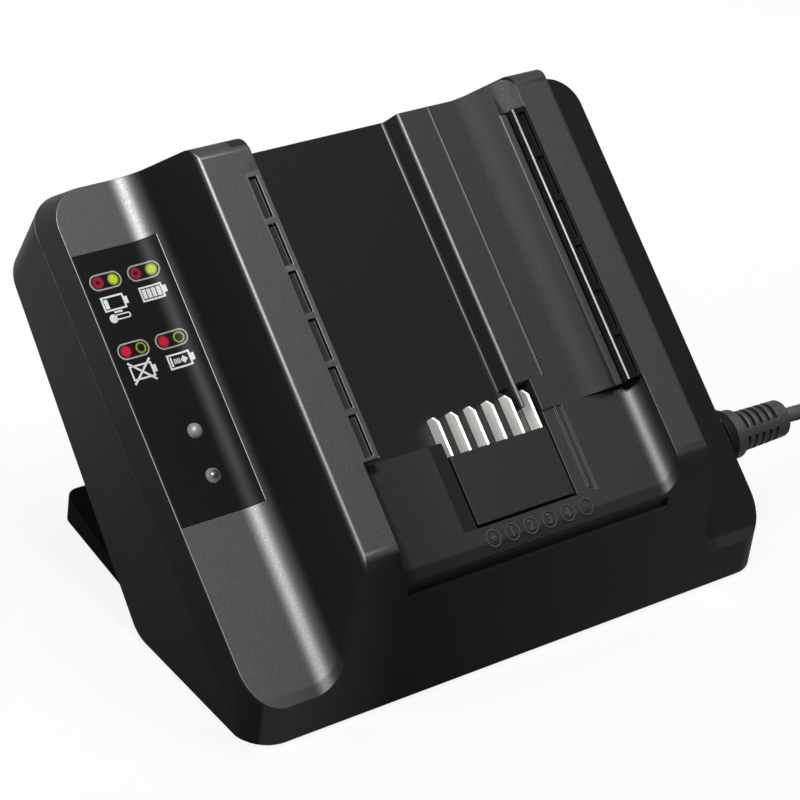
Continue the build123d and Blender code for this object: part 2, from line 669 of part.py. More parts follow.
def gland_boss():
    """Round boss on the right side that carries the cord's gland."""
    inner = rod(GLAND_BOSS_RADIUS, (HALF_WIDTH - WALL, CORD_Y, CORD_Z), (HALF_WIDTH, CORD_Y, CORD_Z))
    outer = rod(GLAND_BOSS_RADIUS, (HALF_WIDTH, CORD_Y, CORD_Z), (GLAND_BOSS_END, CORD_Y, CORD_Z))
    return inner, outer


# ---------------------------------------------------------------- lower housing
def half_width(w, inset=0.0):
    """Half width of the lower shell, moved inward by inset."""
    return HALF_WIDTH - inset - (PARTING_W - w) * SIDE_DRAFT


def end_corner(side, inset=0.0):
    """What a rounded top end corner takes off the lower shell."""
    u = half_width(PARTING_W, inset)
    face = corner_face(side, u, END_V - inset, CORNER_RADIUS - inset).moved(Pos(0, 0, PARTING_W))
    lean = Vector(side * (half_width(-BACK_DEPTH, inset) - u), BACK_END - END_V, PARTING_DEPTH - BACK_DEPTH)
    return Solid.extrude(face.moved(Pos(*(lean * -0.5))), lean * 2.5)


def lower_section(inset):
    """Outline (u, w) across the lower shell, moved inward by inset."""
    top = PARTING_W + TRIM + inset
    wide = HALF_WIDTH - inset
    narrow = half_width(DEEP, inset)
    return [(-wide, top), (wide, top), (wide, PARTING_W), (narrow, DEEP), (-narrow, DEEP), (-wide, PARTING_W)]


def lower_outer():
    """Solid of the lower shell before it is hollowed."""
    corner = base_corner_v()
    side = [(joint_v(), PARTING_W), (END_V, PARTING_W), (BACK_END, -BACK_DEPTH),
            (corner, base_w(corner))]
    profile = FilletPolyline(*[(-FAR / 2, v, w) for v, w in side],
                             radius=[0, 0, BACK_EDGE_RADIUS, BASE_EDGE_RADIUS], close=True)
    body = Solid.extrude(Face(Wire(profile.edges())), Vector(FAR, 0, 0))
    body = body & along(lower_section(0), -FAR, FAR)
    return body - end_corner(-1) - end_corner(1)


def lower_void():
    corner = base_corner_v(WALL)
    side = [(joint_v(WALL) - WALL, PARTING_W + WALL), (END_V - WALL, PARTING_W + WALL),
            (END_V - WALL, PARTING_W), (BACK_END - WALL, back_w(BACK_END - WALL, WALL)),
            (corner, base_w(corner, WALL)), (joint_v(WALL), PARTING_W)]
    body = across(side, FAR / 2) & along(lower_section(WALL), -FAR, FAR)
    return body - end_corner(-1, WALL) - end_corner(1, WALL) - behind_notch()


def post_places():
    u = BOARD_HALF_U - POST_INSET
    near = BOARD_START + POST_INSET
    far = BOARD_START + BOARD_LENGTH - POST_INSET
    return [(-u, near), (u, near), (-u, far), (u, far)]


def case_screw_places():
    return [(side * CASE_SCREW_U, v) for side in (-1, 1) for v in CASE_SCREW_V]


def lug_places():
    return (-LUG_X, LUG_X)


HINGE_Z = HINGE_RISE + FOOT_PROUD


def hinge_rod(radius, x0, x1):
    return rod(radius, (x0, HINGE_Y, HINGE_Z), (x1, HINGE_Y, HINGE_Z))


def lower_housing():
    outer = lower_outer() - end_cut()
    body = outer - lower_void()
    for u, v in post_places():
        body = body.fuse(rod(POST_RADIUS, (u, v, DEEP), (u, v, BOARD_UNDER)) & outer)
    for u, v in case_screw_places():
        body = body.fuse(rod(BOSS_RADIUS, (u, v, DEEP), (u, v, PARTING_W)) & outer)
    for u, v in post_places():
        body = body - rod(SCREW_RADIUS, (u, v, BOARD_UNDER - SCREW_GRIP), (u, v, PARTING_W))
    for u, v in case_screw_places():
        seat = PARTING_W - CASE_SEAT
        body = body - rod(COUNTERBORE_RADIUS, (u, v, DEEP), (u, v, seat))
        body = body - rod(CASE_SCREW_RADIUS, (u, v, seat - OVERCUT), (u, v, 0))
    half = LUG_WIDTH / 2 + LUG_GAP
    reach = LUG_RADIUS + LUG_CLEAR
    shell = SLAB * outer
    body = SLAB * body
    for x in lug_places():
        ear = half + PIN_SEAT + HINGE_END_WALL
        body = body.fuse(hinge_rod(reach + HINGE_WALL, x - ear, x + ear) & shell)
        body = body - hinge_rod(reach, x - half, x + half)
        body = body - block(x - half, x + half, HINGE_Y - reach, FAR / 2, -OVERCUT, HINGE_Z)
        body = body - hinge_rod(PIN_RADIUS, x - half - PIN_SEAT, x + half + PIN_SEAT)
    for side in (-1, 1):
        body = body - front_corner(side)
        for y in FOOT_PLACES:
            body = body - foot(side * FOOT_X, y)
    below = SLAB * block(-FAR, FAR, -FAR, FAR, -FAR, PARTING_W)
    for boss in gland_boss():
        body = body.fuse(boss & below)
    return body - rating_plate()


def foot(x, y):
    return rod(FOOT_RADIUS, (x, y, 0), (x, y, FOOT_PROUD + FOOT_RECESS))


def rating_plate():
    """Bare plate, let flush into the back wall."""
    points = []
    for v in (PLATE_START, PLATE_START + PLATE_LENGTH):
        points.append((v, back_w(v)))
    for v in (PLATE_START + PLATE_LENGTH, PLATE_START):
        points.append((v, back_w(v, PLATE_THICK)))
    return SLAB * across(points, PLATE_HALF)


# ---------------------------------------------------------------- outer pieces
def indicator_panel():
    body = panel_body()
    for v in LED_PLACES:
        body = body - led_axis(v, -WALL - OVERCUT, OVERCUT, LED_RADIUS + LED_CLEAR)
    return SLAB * body


def indicator_led(v):
    """Domed lamp with its flange and two legs, standing on the indicator board."""
    under = LED_PROUD - LED_LENGTH
    body = led_axis(v, under, LED_PROUD - LED_RADIUS, LED_RADIUS)
    dome = Pos(LED_U, v, LED_PROUD - LED_RADIUS) * Sphere(LED_RADIUS)
    body = body.fuse(dome).fuse(led_axis(v, under, under + LED_FLANGE_THICK, LED_RADIUS + LED_FLANGE))
    for side in (-1, 1):
        leg_v = v + side * LEG_PITCH / 2
        body = body.fuse(rod(LED_LEG_RADIUS, (LED_U, leg_v, INDICATOR_LEVEL),
                             (LED_U, leg_v, under + LED_LEG_ROOT)))
    return SLAB * body


def terminal_block():
    top = PLATE_LEVEL - BLOCK_DROP
    start = POCKET_START + BLOCK_SETBACK
    body = block(BLOCK_LEFT, BLOCK_RIGHT, start, BLOCK_END, FLOOR_LEVEL, top)
    for u in blade_places():
        body = body - blade(u)
    return SLAB * body


def blade_places():
    return [BLADE_FIRST + i * BLADE_PITCH for i in range(BLADE_COUNT)]


def blade(u):
    """Contact blade: chamfered tongue, root in the block and tail through the floor."""
    low = FLOOR_LEVEL + BLADE_LIFT
    high = low + BLADE_HEIGHT
    start = BLOCK_END - BLADE_ROOT
    end = BLOCK_END + BLADE_LENGTH
    tail = start + BLADE_TAIL
    points = [(start, high), (end - BLADE_CHAMFER, high), (end, high - BLADE_CHAMFER),
              (end, low), (tail, low), (tail, BLADE_TAIL_END), (start, BLADE_TAIL_END)]
    return polygon([Vector(u - BLADE_THICK / 2, v, w) for v, w in points], Vector(BLADE_THICK, 0, 0))


def blade_hold(u):
    """Lead from a blade's tail down to the main board."""
    v = BLOCK_END - BLADE_ROOT + BLADE_TAIL / 2
    return rod(BLADE_LEAD_RADIUS, (u, v, BOARD_LEVEL), (u, v, BLADE_TAIL_END))


def strain_relief():
    flange = GLAND_BOSS_END + FLANGE_THICK
    at = lambda x: (x, CORD_Y, CORD_Z)
    body = rod(GLAND_SNAP_RADIUS, at(GLAND_SNAP_END - GLAND_SNAP), at(GLAND_SNAP_END))
    body = body.fuse(rod(GLAND_NECK_RADIUS, at(GLAND_SNAP_END), at(GLAND_BOSS_END)))
    body = body.fuse(rod(FLANGE_RADIUS, at(GLAND_BOSS_END), at(flange)))
    body = body.fuse(cone(SLEEVE_RADIUS, SLEEVE_TIP_RADIUS, at(flange), at(SLEEVE_END)))
    for i in range(SLEEVE_RINGS):
        x = flange + SLEEVE_FIRST + i * SLEEVE_PITCH
        wide = SLEEVE_RADIUS + OVERCUT
        slot = rod(wide, at(x), at(x + SLEEVE_SLOT)) - rod(SLEEVE_CORE, at(x), at(x + SLEEVE_SLOT))
        spine = Rot(-SLEEVE_TURN, 0, 0) * Box(SLEEVE_SLOT, 2 * wide, 2 * SLEEVE_SPINE)
        body = body - (slot - Pos(x + SLEEVE_SLOT / 2, CORD_Y, CORD_Z) * spine)
    return body


# ---------------------------------------------------------------- mains cord
def bend_radii(points):
    """Arc radius at each inner point: a share of the shorter run over tan(half the turn)."""
    radii = []
    for a, b, c in zip(points, points[1:], points[2:]):
        before = Vector(*b) - Vector(*a)
        after = Vector(*c) - Vector(*b)
        half = radians(before.get_angle(after)) / 2
        radii.append(BEND_SHARE * min(before.length, after.length) / tan(half))
    return radii


def tube(points, name):
    """Cord along straight runs and tangent arcs."""
    radii = bend_radii(points)
    path = FilletPolyline(*points, radius=radii)
    section = Plane(origin=path @ 0, z_dir=path % 0) * Circle(CORD_RADIUS)
    body = sweep(section, path=path)
    exact = pi * CORD_RADIUS ** 2 * path.length
    print(name, "bend radii", [round(r, 1) for r in radii], "length", round(path.length, 1),
          "volume over section x length", round(body.volume / exact, 4))
    return body


def coil():
    """Outer shape of the coiled cord."""
    inner = COIL_FIRST - CORD_RADIUS
    outer = COIL_FIRST + (2 * COIL_TURNS - 1) * CORD_RADIUS
    top = CORD_LIFT + 2 * CORD_RADIUS * COIL_LAYERS
    x, y = COIL_CENTRE
    return rod(outer, (x, y, CORD_LIFT), (x, y, top)) - rod(inner, (x, y, 0), (x, y, top + OVERCUT))


def plug_parts():
    """Plug body and its two pins, lying flat and pointing to -Y from the cord's end."""
    x, y, z = END_ROUTE[-1]
    front = y - PLUG_TAIL - PLUG_LENGTH
    body = block(x - PLUG_WIDTH / 2, x + PLUG_WIDTH / 2, front, y - PLUG_TAIL,
                 z - PLUG_HEIGHT / 2, z + PLUG_HEIGHT / 2)
    back = edges_along(body, (0, 0, 1), lambda c: c.Y > y - PLUG_TAIL - OVERCUT)
    body = body.fillet(PLUG_CORNER, back)
    body = body.fillet(PLUG_EDGE, body.faces().sort_by(Axis.Z)[-1].edges())
    body = body.fillet(PLUG_EDGE, body.faces().sort_by(Axis.Z)[0].edges())
    body = body.fuse(cone(PLUG_TAIL_RADIUS, PLUG_TAIL_RADIUS + PLUG_TAIL_FLARE, (x, y, z),
                          (x, y - PLUG_TAIL - OVERCUT, z)))
    pins = []
    for side in (-1, 1):
        at = x + side * PIN_SPACING / 2
        pin = rod(PLUG_PIN_RADIUS, (at, front + PLUG_PIN_ROOT, z), (at, front - PLUG_PIN_LENGTH, z))
        body = body - pin
        pins.append(pin)
    return body, group(pins)


# ---------------------------------------------------------------- stand
def stand_top_z(y):
    rise = radians(STAND_RISE)
    return HINGE_Z - STAND_SEAT / cos(rise) + (y - HINGE_Y) * tan(rise)


def rear_stand():
    plan = FilletPolyline((-STAND_HALF_FRONT, STAND_START, 0), (STAND_HALF_FRONT, STAND_START, 0),
                          (STAND_HALF_REAR, STAND_END, 0), (-STAND_HALF_REAR, STAND_END, 0),
                          radius=[0, 0, STAND_CORNER, STAND_CORNER], close=True)
    body = Solid.extrude(Face(Wire(plan.edges())), Vector(0, 0, FAR)).moved(Pos(0, 0, FOOT_PROUD))
    wedge = polygon([Vector(-FAR / 2, 0, -FAR), Vector(-FAR / 2, 0, stand_top_z(0)),
                     Vector(-FAR / 2, FAR, stand_top_z(FAR)), Vector(-FAR / 2, FAR, -FAR)], Vector(FAR, 0, 0))
    body = body & wedge
    hollow = [(STAND_START + 2 * STAND_RIB, -WALL), (STAND_END - STAND_RIB, -WALL)]
    hollow += [(y, stand_top_z(y) - STAND_SKIN) for y, z in hollow[::-1]]
    inner = PAD_X - 2 * STAND_RIB
    cut = polygon([Vector(-inner, y, z) for y, z in hollow], Vector(2 * inner, 0, 0))
    body = body - cut
    for x in lug_places():
        half = LUG_WIDTH / 2
        low = HINGE_Z - LUG_RADIUS
        arm = block(x - half, x + half, HINGE_Y, STAND_START + LUG_ARM, low, HINGE_Z) & wedge
        lug = hinge_rod(LUG_RADIUS, x - half, x + half)
        body = body.fuse(arm).fuse(lug)
        body = body - hinge_rod(PIN_RADIUS + PIN_CLEAR, x - half - OVERCUT, x + half + OVERCUT)
    for x in (-PAD_X, PAD_X):
        body = body - pad(x)
    return body


def pad(x):
    return rod(PAD_RADIUS, (x, PAD_Y, 0), (x, PAD_Y, FOOT_PROUD + FOOT_RECESS))


# ---------------------------------------------------------------- inside
def on_board(place, size):
    """Box standing on the main board, centred on a place."""
    (u, v), (du, dv, dw) = place, size
    return block(u - du / 2, u + du / 2, v - dv / 2, v + dv / 2, BOARD_LEVEL, BOARD_LEVEL + dw)


def can(place, radius, height):
    u, v = place
    return rod(radius, (u, v, BOARD_LEVEL), (u, v, BOARD_LEVEL + height))


def core_windows(extra):
    """Two windows of the core, or with extra the winding around its centre leg."""
    (u, v), (du, dv, dw) = CORE_PLACE, CORE_SIZE
    low = BOARD_LEVEL + CORE_YOKE
    high = BOARD_LEVEL + dw - CORE_YOKE
    half = du / 2 - CORE_YOKE
    deep = dv / 2 + extra
    outer = block(u - half, u + half, v - deep, v + deep, low, high)
    leg = block(u - CORE_LEG / 2, u + CORE_LEG / 2, v - dv / 2, v + dv / 2, low, high)
    return outer - leg


def transformer_core():
    return on_board(CORE_PLACE, CORE_SIZE) - core_windows(0)


def transformer_winding():
    return core_windows(WINDING_THICK)


def heat_sink(place, side):
    """Upright plate along v with fins on one side."""
    u, v, length = place
    body = block(u - SINK_THICK / 2, u + SINK_THICK / 2, v - length / 2, v + length / 2,
                 BOARD_LEVEL, BOARD_LEVEL + SINK_HEIGHT)
    root = u + side * SINK_THICK / 2
    tip = root + side * SINK_FIN
    pitch = (length - SINK_FIN_THICK) / (SINK_FIN_COUNT - 1)
    for i in range(SINK_FIN_COUNT):
        start = v - length / 2 + i * pitch
        body = body.fuse(block(min(root, tip), max(root, tip), start, start + SINK_FIN_THICK,
                               BOARD_LEVEL, BOARD_LEVEL + SINK_HEIGHT))
    return body


def power_case(place, side):
    """Power part clipped flat on a heat sink, opposite its fins."""
    u, v, length = place
    thick, wide, high = CASE_SIZE
    face = u - side * SINK_THICK / 2
    back = face - side * thick
    body = block(min(face, back), max(face, back), v - wide / 2, v + wide / 2,
                 BOARD_LEVEL + CASE_LIFT, BOARD_LEVEL + CASE_LIFT + high)
    for i in (-1, 0, 1):
        leg_u, leg_v = face - side * thick / 2, v + i * LEG_PITCH
        body = body.fuse(rod(CASE_LEG_RADIUS, (leg_u, leg_v, BOARD_LEVEL),
                             (leg_u, leg_v, BOARD_LEVEL + CASE_LIFT + OVERCUT)))
    return body


def mains_fuse():
    """Glass fuse lying along u, held by a metal clip at each end."""
    u, v = FUSE_PLACE
    w = BOARD_LEVEL + FUSE_LIFT
    half = FUSE_LENGTH / 2
    deep = FUSE_RADIUS + FUSE_CLIP_WALL
    body = rod(FUSE_RADIUS - FUSE_GLASS_STEP, (u - half, v, w), (u + half, v, w))
    for side in (-1, 1):
        end = u + side * half
        cap = u + side * (half - FUSE_CAP)
        body = body.fuse(rod(FUSE_RADIUS, (cap, v, w), (end, v, w)))
        near, far = sorted((cap + side * FUSE_CLIP_INSET, end - side * FUSE_CLIP_INSET))
        body = body.fuse(block(near, far, v - deep, v + deep, BOARD_LEVEL, w))
    return body


def line_choke():
    return can(CHOKE_PLACE, CHOKE_RADIUS, CHOKE_HEIGHT) - can(CHOKE_PLACE, CHOKE_BORE, CHOKE_HEIGHT + OVERCUT)


def output_capacitors():
    u, v = OUTPUT_CAP_PLACE
    cans = [can((u, v + i * OUTPUT_CAP_PITCH), OUTPUT_CAP_RADIUS, OUTPUT_CAP_HEIGHT)
            for i in range(OUTPUT_CAP_COUNT)]
    return group(cans)


def main_board():
    body = block(-BOARD_HALF_U, BOARD_HALF_U, BOARD_START, BOARD_START + BOARD_LENGTH,
                 BOARD_UNDER, BOARD_LEVEL)
    for u, v in post_places():
        body = body - rod(SCREW_RADIUS, (u, v, BOARD_UNDER - OVERCUT), (u, v, BOARD_LEVEL + OVERCUT))
    return body


def screw(place, seat, point, radius, head_radius, head_height):
    """Pan-head screw along w: its head lies beyond the seat, its point at the other end."""
    u, v = place
    way = 1 if seat > point else -1
    body = rod(radius, (u, v, point), (u, v, seat))
    return body.fuse(rod(head_radius, (u, v, seat), (u, v, seat + way * head_height)))


def indicator_posts():
    u = INDICATOR_U + INDICATOR_WIDTH / 2
    return [(u, INDICATOR_START + POST_INSET), (u, INDICATOR_START + INDICATOR_LENGTH - POST_INSET)]


def indicator_board():
    under = INDICATOR_LEVEL - BOARD_THICK
    body = block(INDICATOR_U, INDICATOR_U + INDICATOR_WIDTH, INDICATOR_START,
                 INDICATOR_START + INDICATOR_LENGTH, under, INDICATOR_LEVEL)
    for u, v in indicator_posts():
        body = body - rod(SCREW_RADIUS, (u, v, under - OVERCUT), (u, v, INDICATOR_LEVEL + OVERCUT))
    return body


def board_screws():
    screws = [screw(place, BOARD_LEVEL, BOARD_UNDER - SCREW_GRIP, SCREW_RADIUS, SCREW_HEAD_RADIUS,
                    SCREW_HEAD_HEIGHT) for place in post_places()]
    seat = INDICATOR_LEVEL - BOARD_THICK
    screws += [screw(place, seat, INDICATOR_LEVEL + SCREW_GRIP, SCREW_RADIUS, SCREW_HEAD_RADIUS,
                     SCREW_HEAD_HEIGHT) for place in indicator_posts()]
    return group(screws)


def indicator_ribbon():
    """Flat cable from the indicator board's underside to the main board."""
    t = RIBBON_THICK
    top = INDICATOR_LEVEL - BOARD_THICK
    points = [(RIBBON_U, top), (RIBBON_U, RIBBON_LEVEL), (RIBBON_END_U, RIBBON_LEVEL),
              (RIBBON_END_U, BOARD_LEVEL), (RIBBON_END_U - t, BOARD_LEVEL),
              (RIBBON_END_U - t, RIBBON_LEVEL - t), (RIBBON_U - t, RIBBON_LEVEL - t), (RIBBON_U - t, top)]
    middle = INDICATOR_START + INDICATOR_LENGTH / 2
    return along(points, middle - RIBBON_WIDTH / 2, middle + RIBBON_WIDTH / 2)


CORD_V, CORD_W = slab_point(CORD_Y, CORD_Z)


def clamp_places():
    return [(CLAMP_U, CORD_V - CLAMP_SPAN), (CLAMP_U, CORD_V + CLAMP_SPAN)]


def clamp_seat():
    """Level of the clamp's bosses: the cord's underside."""
    return CORD_W - CORD_RADIUS


def cord_clamp():
    reach = CLAMP_SPAN + CLAMP_BOSS_RADIUS
    top = clamp_seat()
    body = block(CLAMP_U - CLAMP_WIDTH / 2, CLAMP_U + CLAMP_WIDTH / 2, CORD_V - reach, CORD_V + reach,
                 top - CLAMP_THICK, top)
    for u, v in clamp_places():
        body = body - rod(CLAMP_SCREW_RADIUS, (u, v, top - CLAMP_THICK - OVERCUT), (u, v, top + OVERCUT))
    return body


def cord_clamp_screws():
    seat = clamp_seat() - CLAMP_THICK
    return group([screw(place, seat, clamp_seat() + CLAMP_THREAD, CLAMP_SCREW_RADIUS,
                                    CLAMP_HEAD_RADIUS, SCREW_HEAD_HEIGHT) for place in clamp_places()])


def mains_inner_lead():
    points = [(GLAND_SNAP_END - GLAND_SNAP, CORD_V, CORD_W), (LEAD_TURN_U, CORD_V, CORD_W),
              (LEAD_TURN_U, LEAD_END_V, CORD_W), (LEAD_TURN_U, LEAD_END_V, BOARD_LEVEL)]
    path = FilletPolyline(*points, radius=LEAD_BEND)
    return sweep(Plane(origin=path @ 0, z_dir=path % 0) * Circle(CORD_RADIUS), path=path)


# ---------------------------------------------------------------- parts
plug, pins = plug_parts()
END_FACE = (SLEEVE_END, CORD_Y, CORD_Z)

WORLD_PARTS = {
    "upper_housing": upper_housing(),
    "lower_housing": lower_housing(),
    "rail_lips": SLAB * group([rail_lip(-1), rail_lip(1)]),
    "indicator_panel": indicator_panel(),
    "indicator_led_red": indicator_led(LED_PLACES[1]),
    "indicator_led_green": indicator_led(LED_PLACES[0]),
    "terminal_block": terminal_block(),
    "rating_plate": rating_plate(),
    "rubber_feet": group([foot(side * FOOT_X, y) for side in (-1, 1) for y in FOOT_PLACES]),
    "rear_stand": rear_stand(),
    "stand_pads": group([pad(-PAD_X), pad(PAD_X)]),
    "stand_pins": group([
        hinge_rod(PIN_RADIUS, x - LUG_WIDTH / 2 - LUG_GAP - PIN_SEAT, x + LUG_WIDTH / 2 + LUG_GAP + PIN_SEAT)
        for x in lug_places()]),
    "strain_relief": strain_relief(),
    "mains_cord": tube([END_FACE] + CORD_ROUTE, "mains_cord"),
    "mains_cord_coil": coil(),
    "mains_cord_end": tube(END_ROUTE, "mains_cord_end"),
    "mains_plug": plug,
    "plug_pins": pins,
}

SLAB_PARTS = {
    "contact_blades": group([blade(u) for u in blade_places()]),
    "terminal_leads": group([blade_hold(u) for u in blade_places()]),
    "main_board": main_board(),
    "board_screws": board_screws(),
    "transformer_core": transformer_core(),
    "transformer_winding": transformer_winding(),
    "primary_heat_sink": heat_sink(PRIMARY_SINK, 1),
    "switching_transistor": power_case(PRIMARY_SINK, 1),
    "secondary_heat_sink": heat_sink(SECONDARY_SINK, -1),
    "rectifier_diode": power_case(SECONDARY_SINK, -1),
    "input_capacitor": can(INPUT_CAP_PLACE, INPUT_CAP_RADIUS, INPUT_CAP_HEIGHT),
    "output_capacitors": output_capacitors(),
    "suppression_capacitor": on_board(X_CAP_PLACE, X_CAP_SIZE),
    "line_choke": line_choke(),
    "mains_fuse": mains_fuse(),
    "charge_relay": on_board(RELAY_PLACE, RELAY_SIZE),
    "indicator_board": indicator_board(),
    "indicator_ribbon": indicator_ribbon(),
    "cord_clamp": cord_clamp(),
    "cord_clamp_screws": cord_clamp_screws(),
    "mains_inner_lead": mains_inner_lead(),
    "housing_screws": group([
        screw(place, PARTING_W - CASE_SEAT, PARTING_W + CASE_THREAD, CASE_SCREW_RADIUS, CASE_HEAD_RADIUS,
              CASE_HEAD_HEIGHT) for place in case_screw_places()]),
}

for name, shape in WORLD_PARTS.items():
    save(name, shape)
for name, shape in SLAB_PARTS.items():
    save(name, SLAB * shape)
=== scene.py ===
from functools import reduce
from math import cos, pi, radians, sin

import bmesh
import bpy
from bpy.props import FloatProperty, FloatVectorProperty, PointerProperty
from mathutils import Matrix, Quaternion, Vector
from mathutils.bvhtree import BVHTree


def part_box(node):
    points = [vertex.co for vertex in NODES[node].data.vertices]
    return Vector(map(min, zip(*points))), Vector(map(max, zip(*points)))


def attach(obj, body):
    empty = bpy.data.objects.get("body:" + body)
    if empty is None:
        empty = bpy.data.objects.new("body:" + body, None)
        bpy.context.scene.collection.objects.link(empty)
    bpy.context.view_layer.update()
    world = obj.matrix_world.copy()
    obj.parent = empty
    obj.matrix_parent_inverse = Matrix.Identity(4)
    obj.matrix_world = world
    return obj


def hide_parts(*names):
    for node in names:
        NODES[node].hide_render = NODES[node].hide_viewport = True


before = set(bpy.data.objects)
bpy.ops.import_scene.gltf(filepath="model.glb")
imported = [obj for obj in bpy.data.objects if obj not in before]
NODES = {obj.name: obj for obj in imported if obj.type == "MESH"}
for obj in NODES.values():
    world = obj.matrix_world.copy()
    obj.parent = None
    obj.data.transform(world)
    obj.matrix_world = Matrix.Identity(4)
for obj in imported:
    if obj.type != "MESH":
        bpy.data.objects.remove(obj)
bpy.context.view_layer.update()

bl_info = {
    "name": "Tool battery charger",
    "version": (1, 0, 0),
    "blender": (4, 5, 0),
    "location": "3D View > Sidebar > Charger",
    "description": "Dresses a battery charger: housing, panel, lamps, terminals, cord and stand",
    "category": "Object",
}

MM = 0.001

# The charger's sloping ledges: origin at the top edge of the front face, Y up the slope.
SLOPE = radians(40.5)
LEDGE = Matrix.Translation((0, 0, 14.4 * MM)) @ Matrix.Rotation(SLOPE, 4, "X")

# Long edges of the dock with a wider rounding: place (u, w), width.
DOCK_LINES = ((12.4, 24.5, 1.2), (10.6, 18.0, 1.1), (51.6, 32.0, 0.7), (-51.6, 32.0, 0.7))

# The indicator panel lies flat on the left ledge, then climbs the ledge's fillet.
PANEL_EDGE_U = -107.3
PANEL_FLAT = 21.77
PANEL_BEND = 10.0
PANEL_WRAP = 50.0
PANEL_RUN = (62.8, 154.4)

# Moulded rim above the panel's upper edge: its crest catches the light.
RIM_WIDTH = 0.55
RIM_LEAN = 28.0
RAIL_RIM = (51.5, 31.85, (60.2, 158.4))


# ---------------------------------------------------------------- settings
def colour(name, text, value):
    return FloatVectorProperty(name=name, description=text, subtype="COLOR", size=3,
                               min=0.0, max=1.0, default=value)


def length(name, text, value):
    return FloatProperty(name=name, description=text, subtype="DISTANCE", unit="LENGTH",
                         min=0.0, precision=6, default=value)


def power(name, text, value):
    return FloatProperty(name=name, description=text, unit="POWER", min=0.0, default=value)


class ChargerSizes(bpy.types.PropertyGroup):
    """Sizes of the finishing details"""

    edge: length("Moulded edge", "Rounding of the housing's moulded edges", 0.00035)
    fine_edge: length("Fine edge", "Rounding of small moulded and stamped edges", 0.00015)
    legend_lift: length("Legend lift", "How far the printed legend stands above the panel", 0.00004)
    mark_lift: length("Mark lift", "How far the terminal marks stand above the plate", 0.0004)
    cord: length("Cord", "Diameter of the mains cord", 0.0054)


class ChargerColours(bpy.types.PropertyGroup):
    """Colours of the finishes"""

    housing: colour("Housing", "Moulded housing plastic", (0.0068, 0.0068, 0.0072))
    panel: colour("Panel", "Foil of the indicator panel", (0.0045, 0.0045, 0.0050))
    terminal: colour("Terminal block", "Plastic of the terminal block", (0.0068, 0.0068, 0.0072))
    # The stand's colour, far darker than the housing's plastic, is painted shade for the shadow it sits
    # in.
    stand: colour("Stand", "Plastic of the rear stand", (0.0018, 0.0018, 0.0020))
    rubber: colour("Rubber", "Cord and strain relief", (0.008, 0.008, 0.0085))
    white: colour("Legend white", "White ink", (0.84, 0.84, 0.84))
    grey: colour("Legend grey", "Ink of the rounded frames", (0.44, 0.43, 0.44))
    red: colour("Legend red", "Red ink", (0.74, 0.012, 0.040))
    dull_red: colour("Legend dark red", "Red ink of the rings and rims", (0.34, 0.012, 0.035))
    green: colour("Legend green", "Yellow-green ink", (0.60, 0.72, 0.035))
    dull_green: colour("Legend dark green", "Green ink of the rings and rims", (0.30, 0.36, 0.020))
    nickel: colour("Nickel", "Plated contact blades", (0.78, 0.77, 0.74))


class ChargerStage(bpy.types.PropertyGroup):
    """Lights of the studio"""

    key: power("Key light", "Power of the large soft light", 9.8)
    sheen: power("Sheen light", "Power of the light that only reflections show", 1200.0)
    fill: power("Fill light", "Power of the light from the left", 6.0)
    rim: power("Back light", "Power of the light from behind", 3.0)
    sky: FloatProperty(name="Room", description="Strength of the room's own light", min=0.0, default=0.2)


def settings_of(context):
    return context.scene.charger_sizes, context.scene.charger_colours


# ---------------------------------------------------------------- shader building blocks
def feed(tree, socket, value):
    """Links an input to another node's output, or sets its value."""
    if isinstance(value, bpy.types.NodeSocket):
        tree.links.new(value, socket)
    else:
        socket.default_value = value


def put(tree, kind, feeds=None, **settings):
    """One node with its settings, and its inputs set or linked."""
    made = tree.nodes.new(kind)
    for key, value in settings.items():
        setattr(made, key, value)
    for key, value in (feeds or {}).items():
        feed(tree, made.inputs[key], value)
    return made


def sum_of(tree, kind, *values):
    return put(tree, "ShaderNodeMath", dict(enumerate(values)), operation=kind).outputs[0]


def blend_of(tree, factor, first, second):
    """Mix of two colours."""
    return put(tree, "ShaderNodeMix", {0: factor, 6: first, 7: second}, data_type="RGBA").outputs[2]


def range_of(tree, value, start, end, low=0.0, high=1.0, **settings):
    """Straight run from low to high while a value goes from start to end."""
    return put(tree, "ShaderNodeMapRange", {"Value": value, "From Min": start, "From Max": end,
                                            "To Min": low, "To Max": high}, **settings).outputs[0]


def noise_of(tree, vector, scale, detail, **more):
    return put(tree, "ShaderNodeTexNoise", {"Vector": vector, "Scale": scale, "Detail": detail,
                                            **more}).outputs[0]


def new_group(name, inputs, outputs):
    """Empty shader group with named sockets; returns its tree, its inputs and its end."""
    tree = bpy.data.node_groups.new(name, "ShaderNodeTree")
    kinds = {"f": "NodeSocketFloat", "c": "NodeSocketColor", "v": "NodeSocketVector"}
    for label, kind, default in inputs:
        made = tree.interface.new_socket(name=label, in_out="INPUT", socket_type=kinds[kind])
        if default is not None:
            made.default_value = default
    for label, kind in outputs:
        tree.interface.new_socket(name=label, in_out="OUTPUT", socket_type=kinds[kind])
    start = tree.nodes.new("NodeGroupInput")
    end = tree.nodes.new("NodeGroupOutput")
    return tree, start.outputs, end.inputs


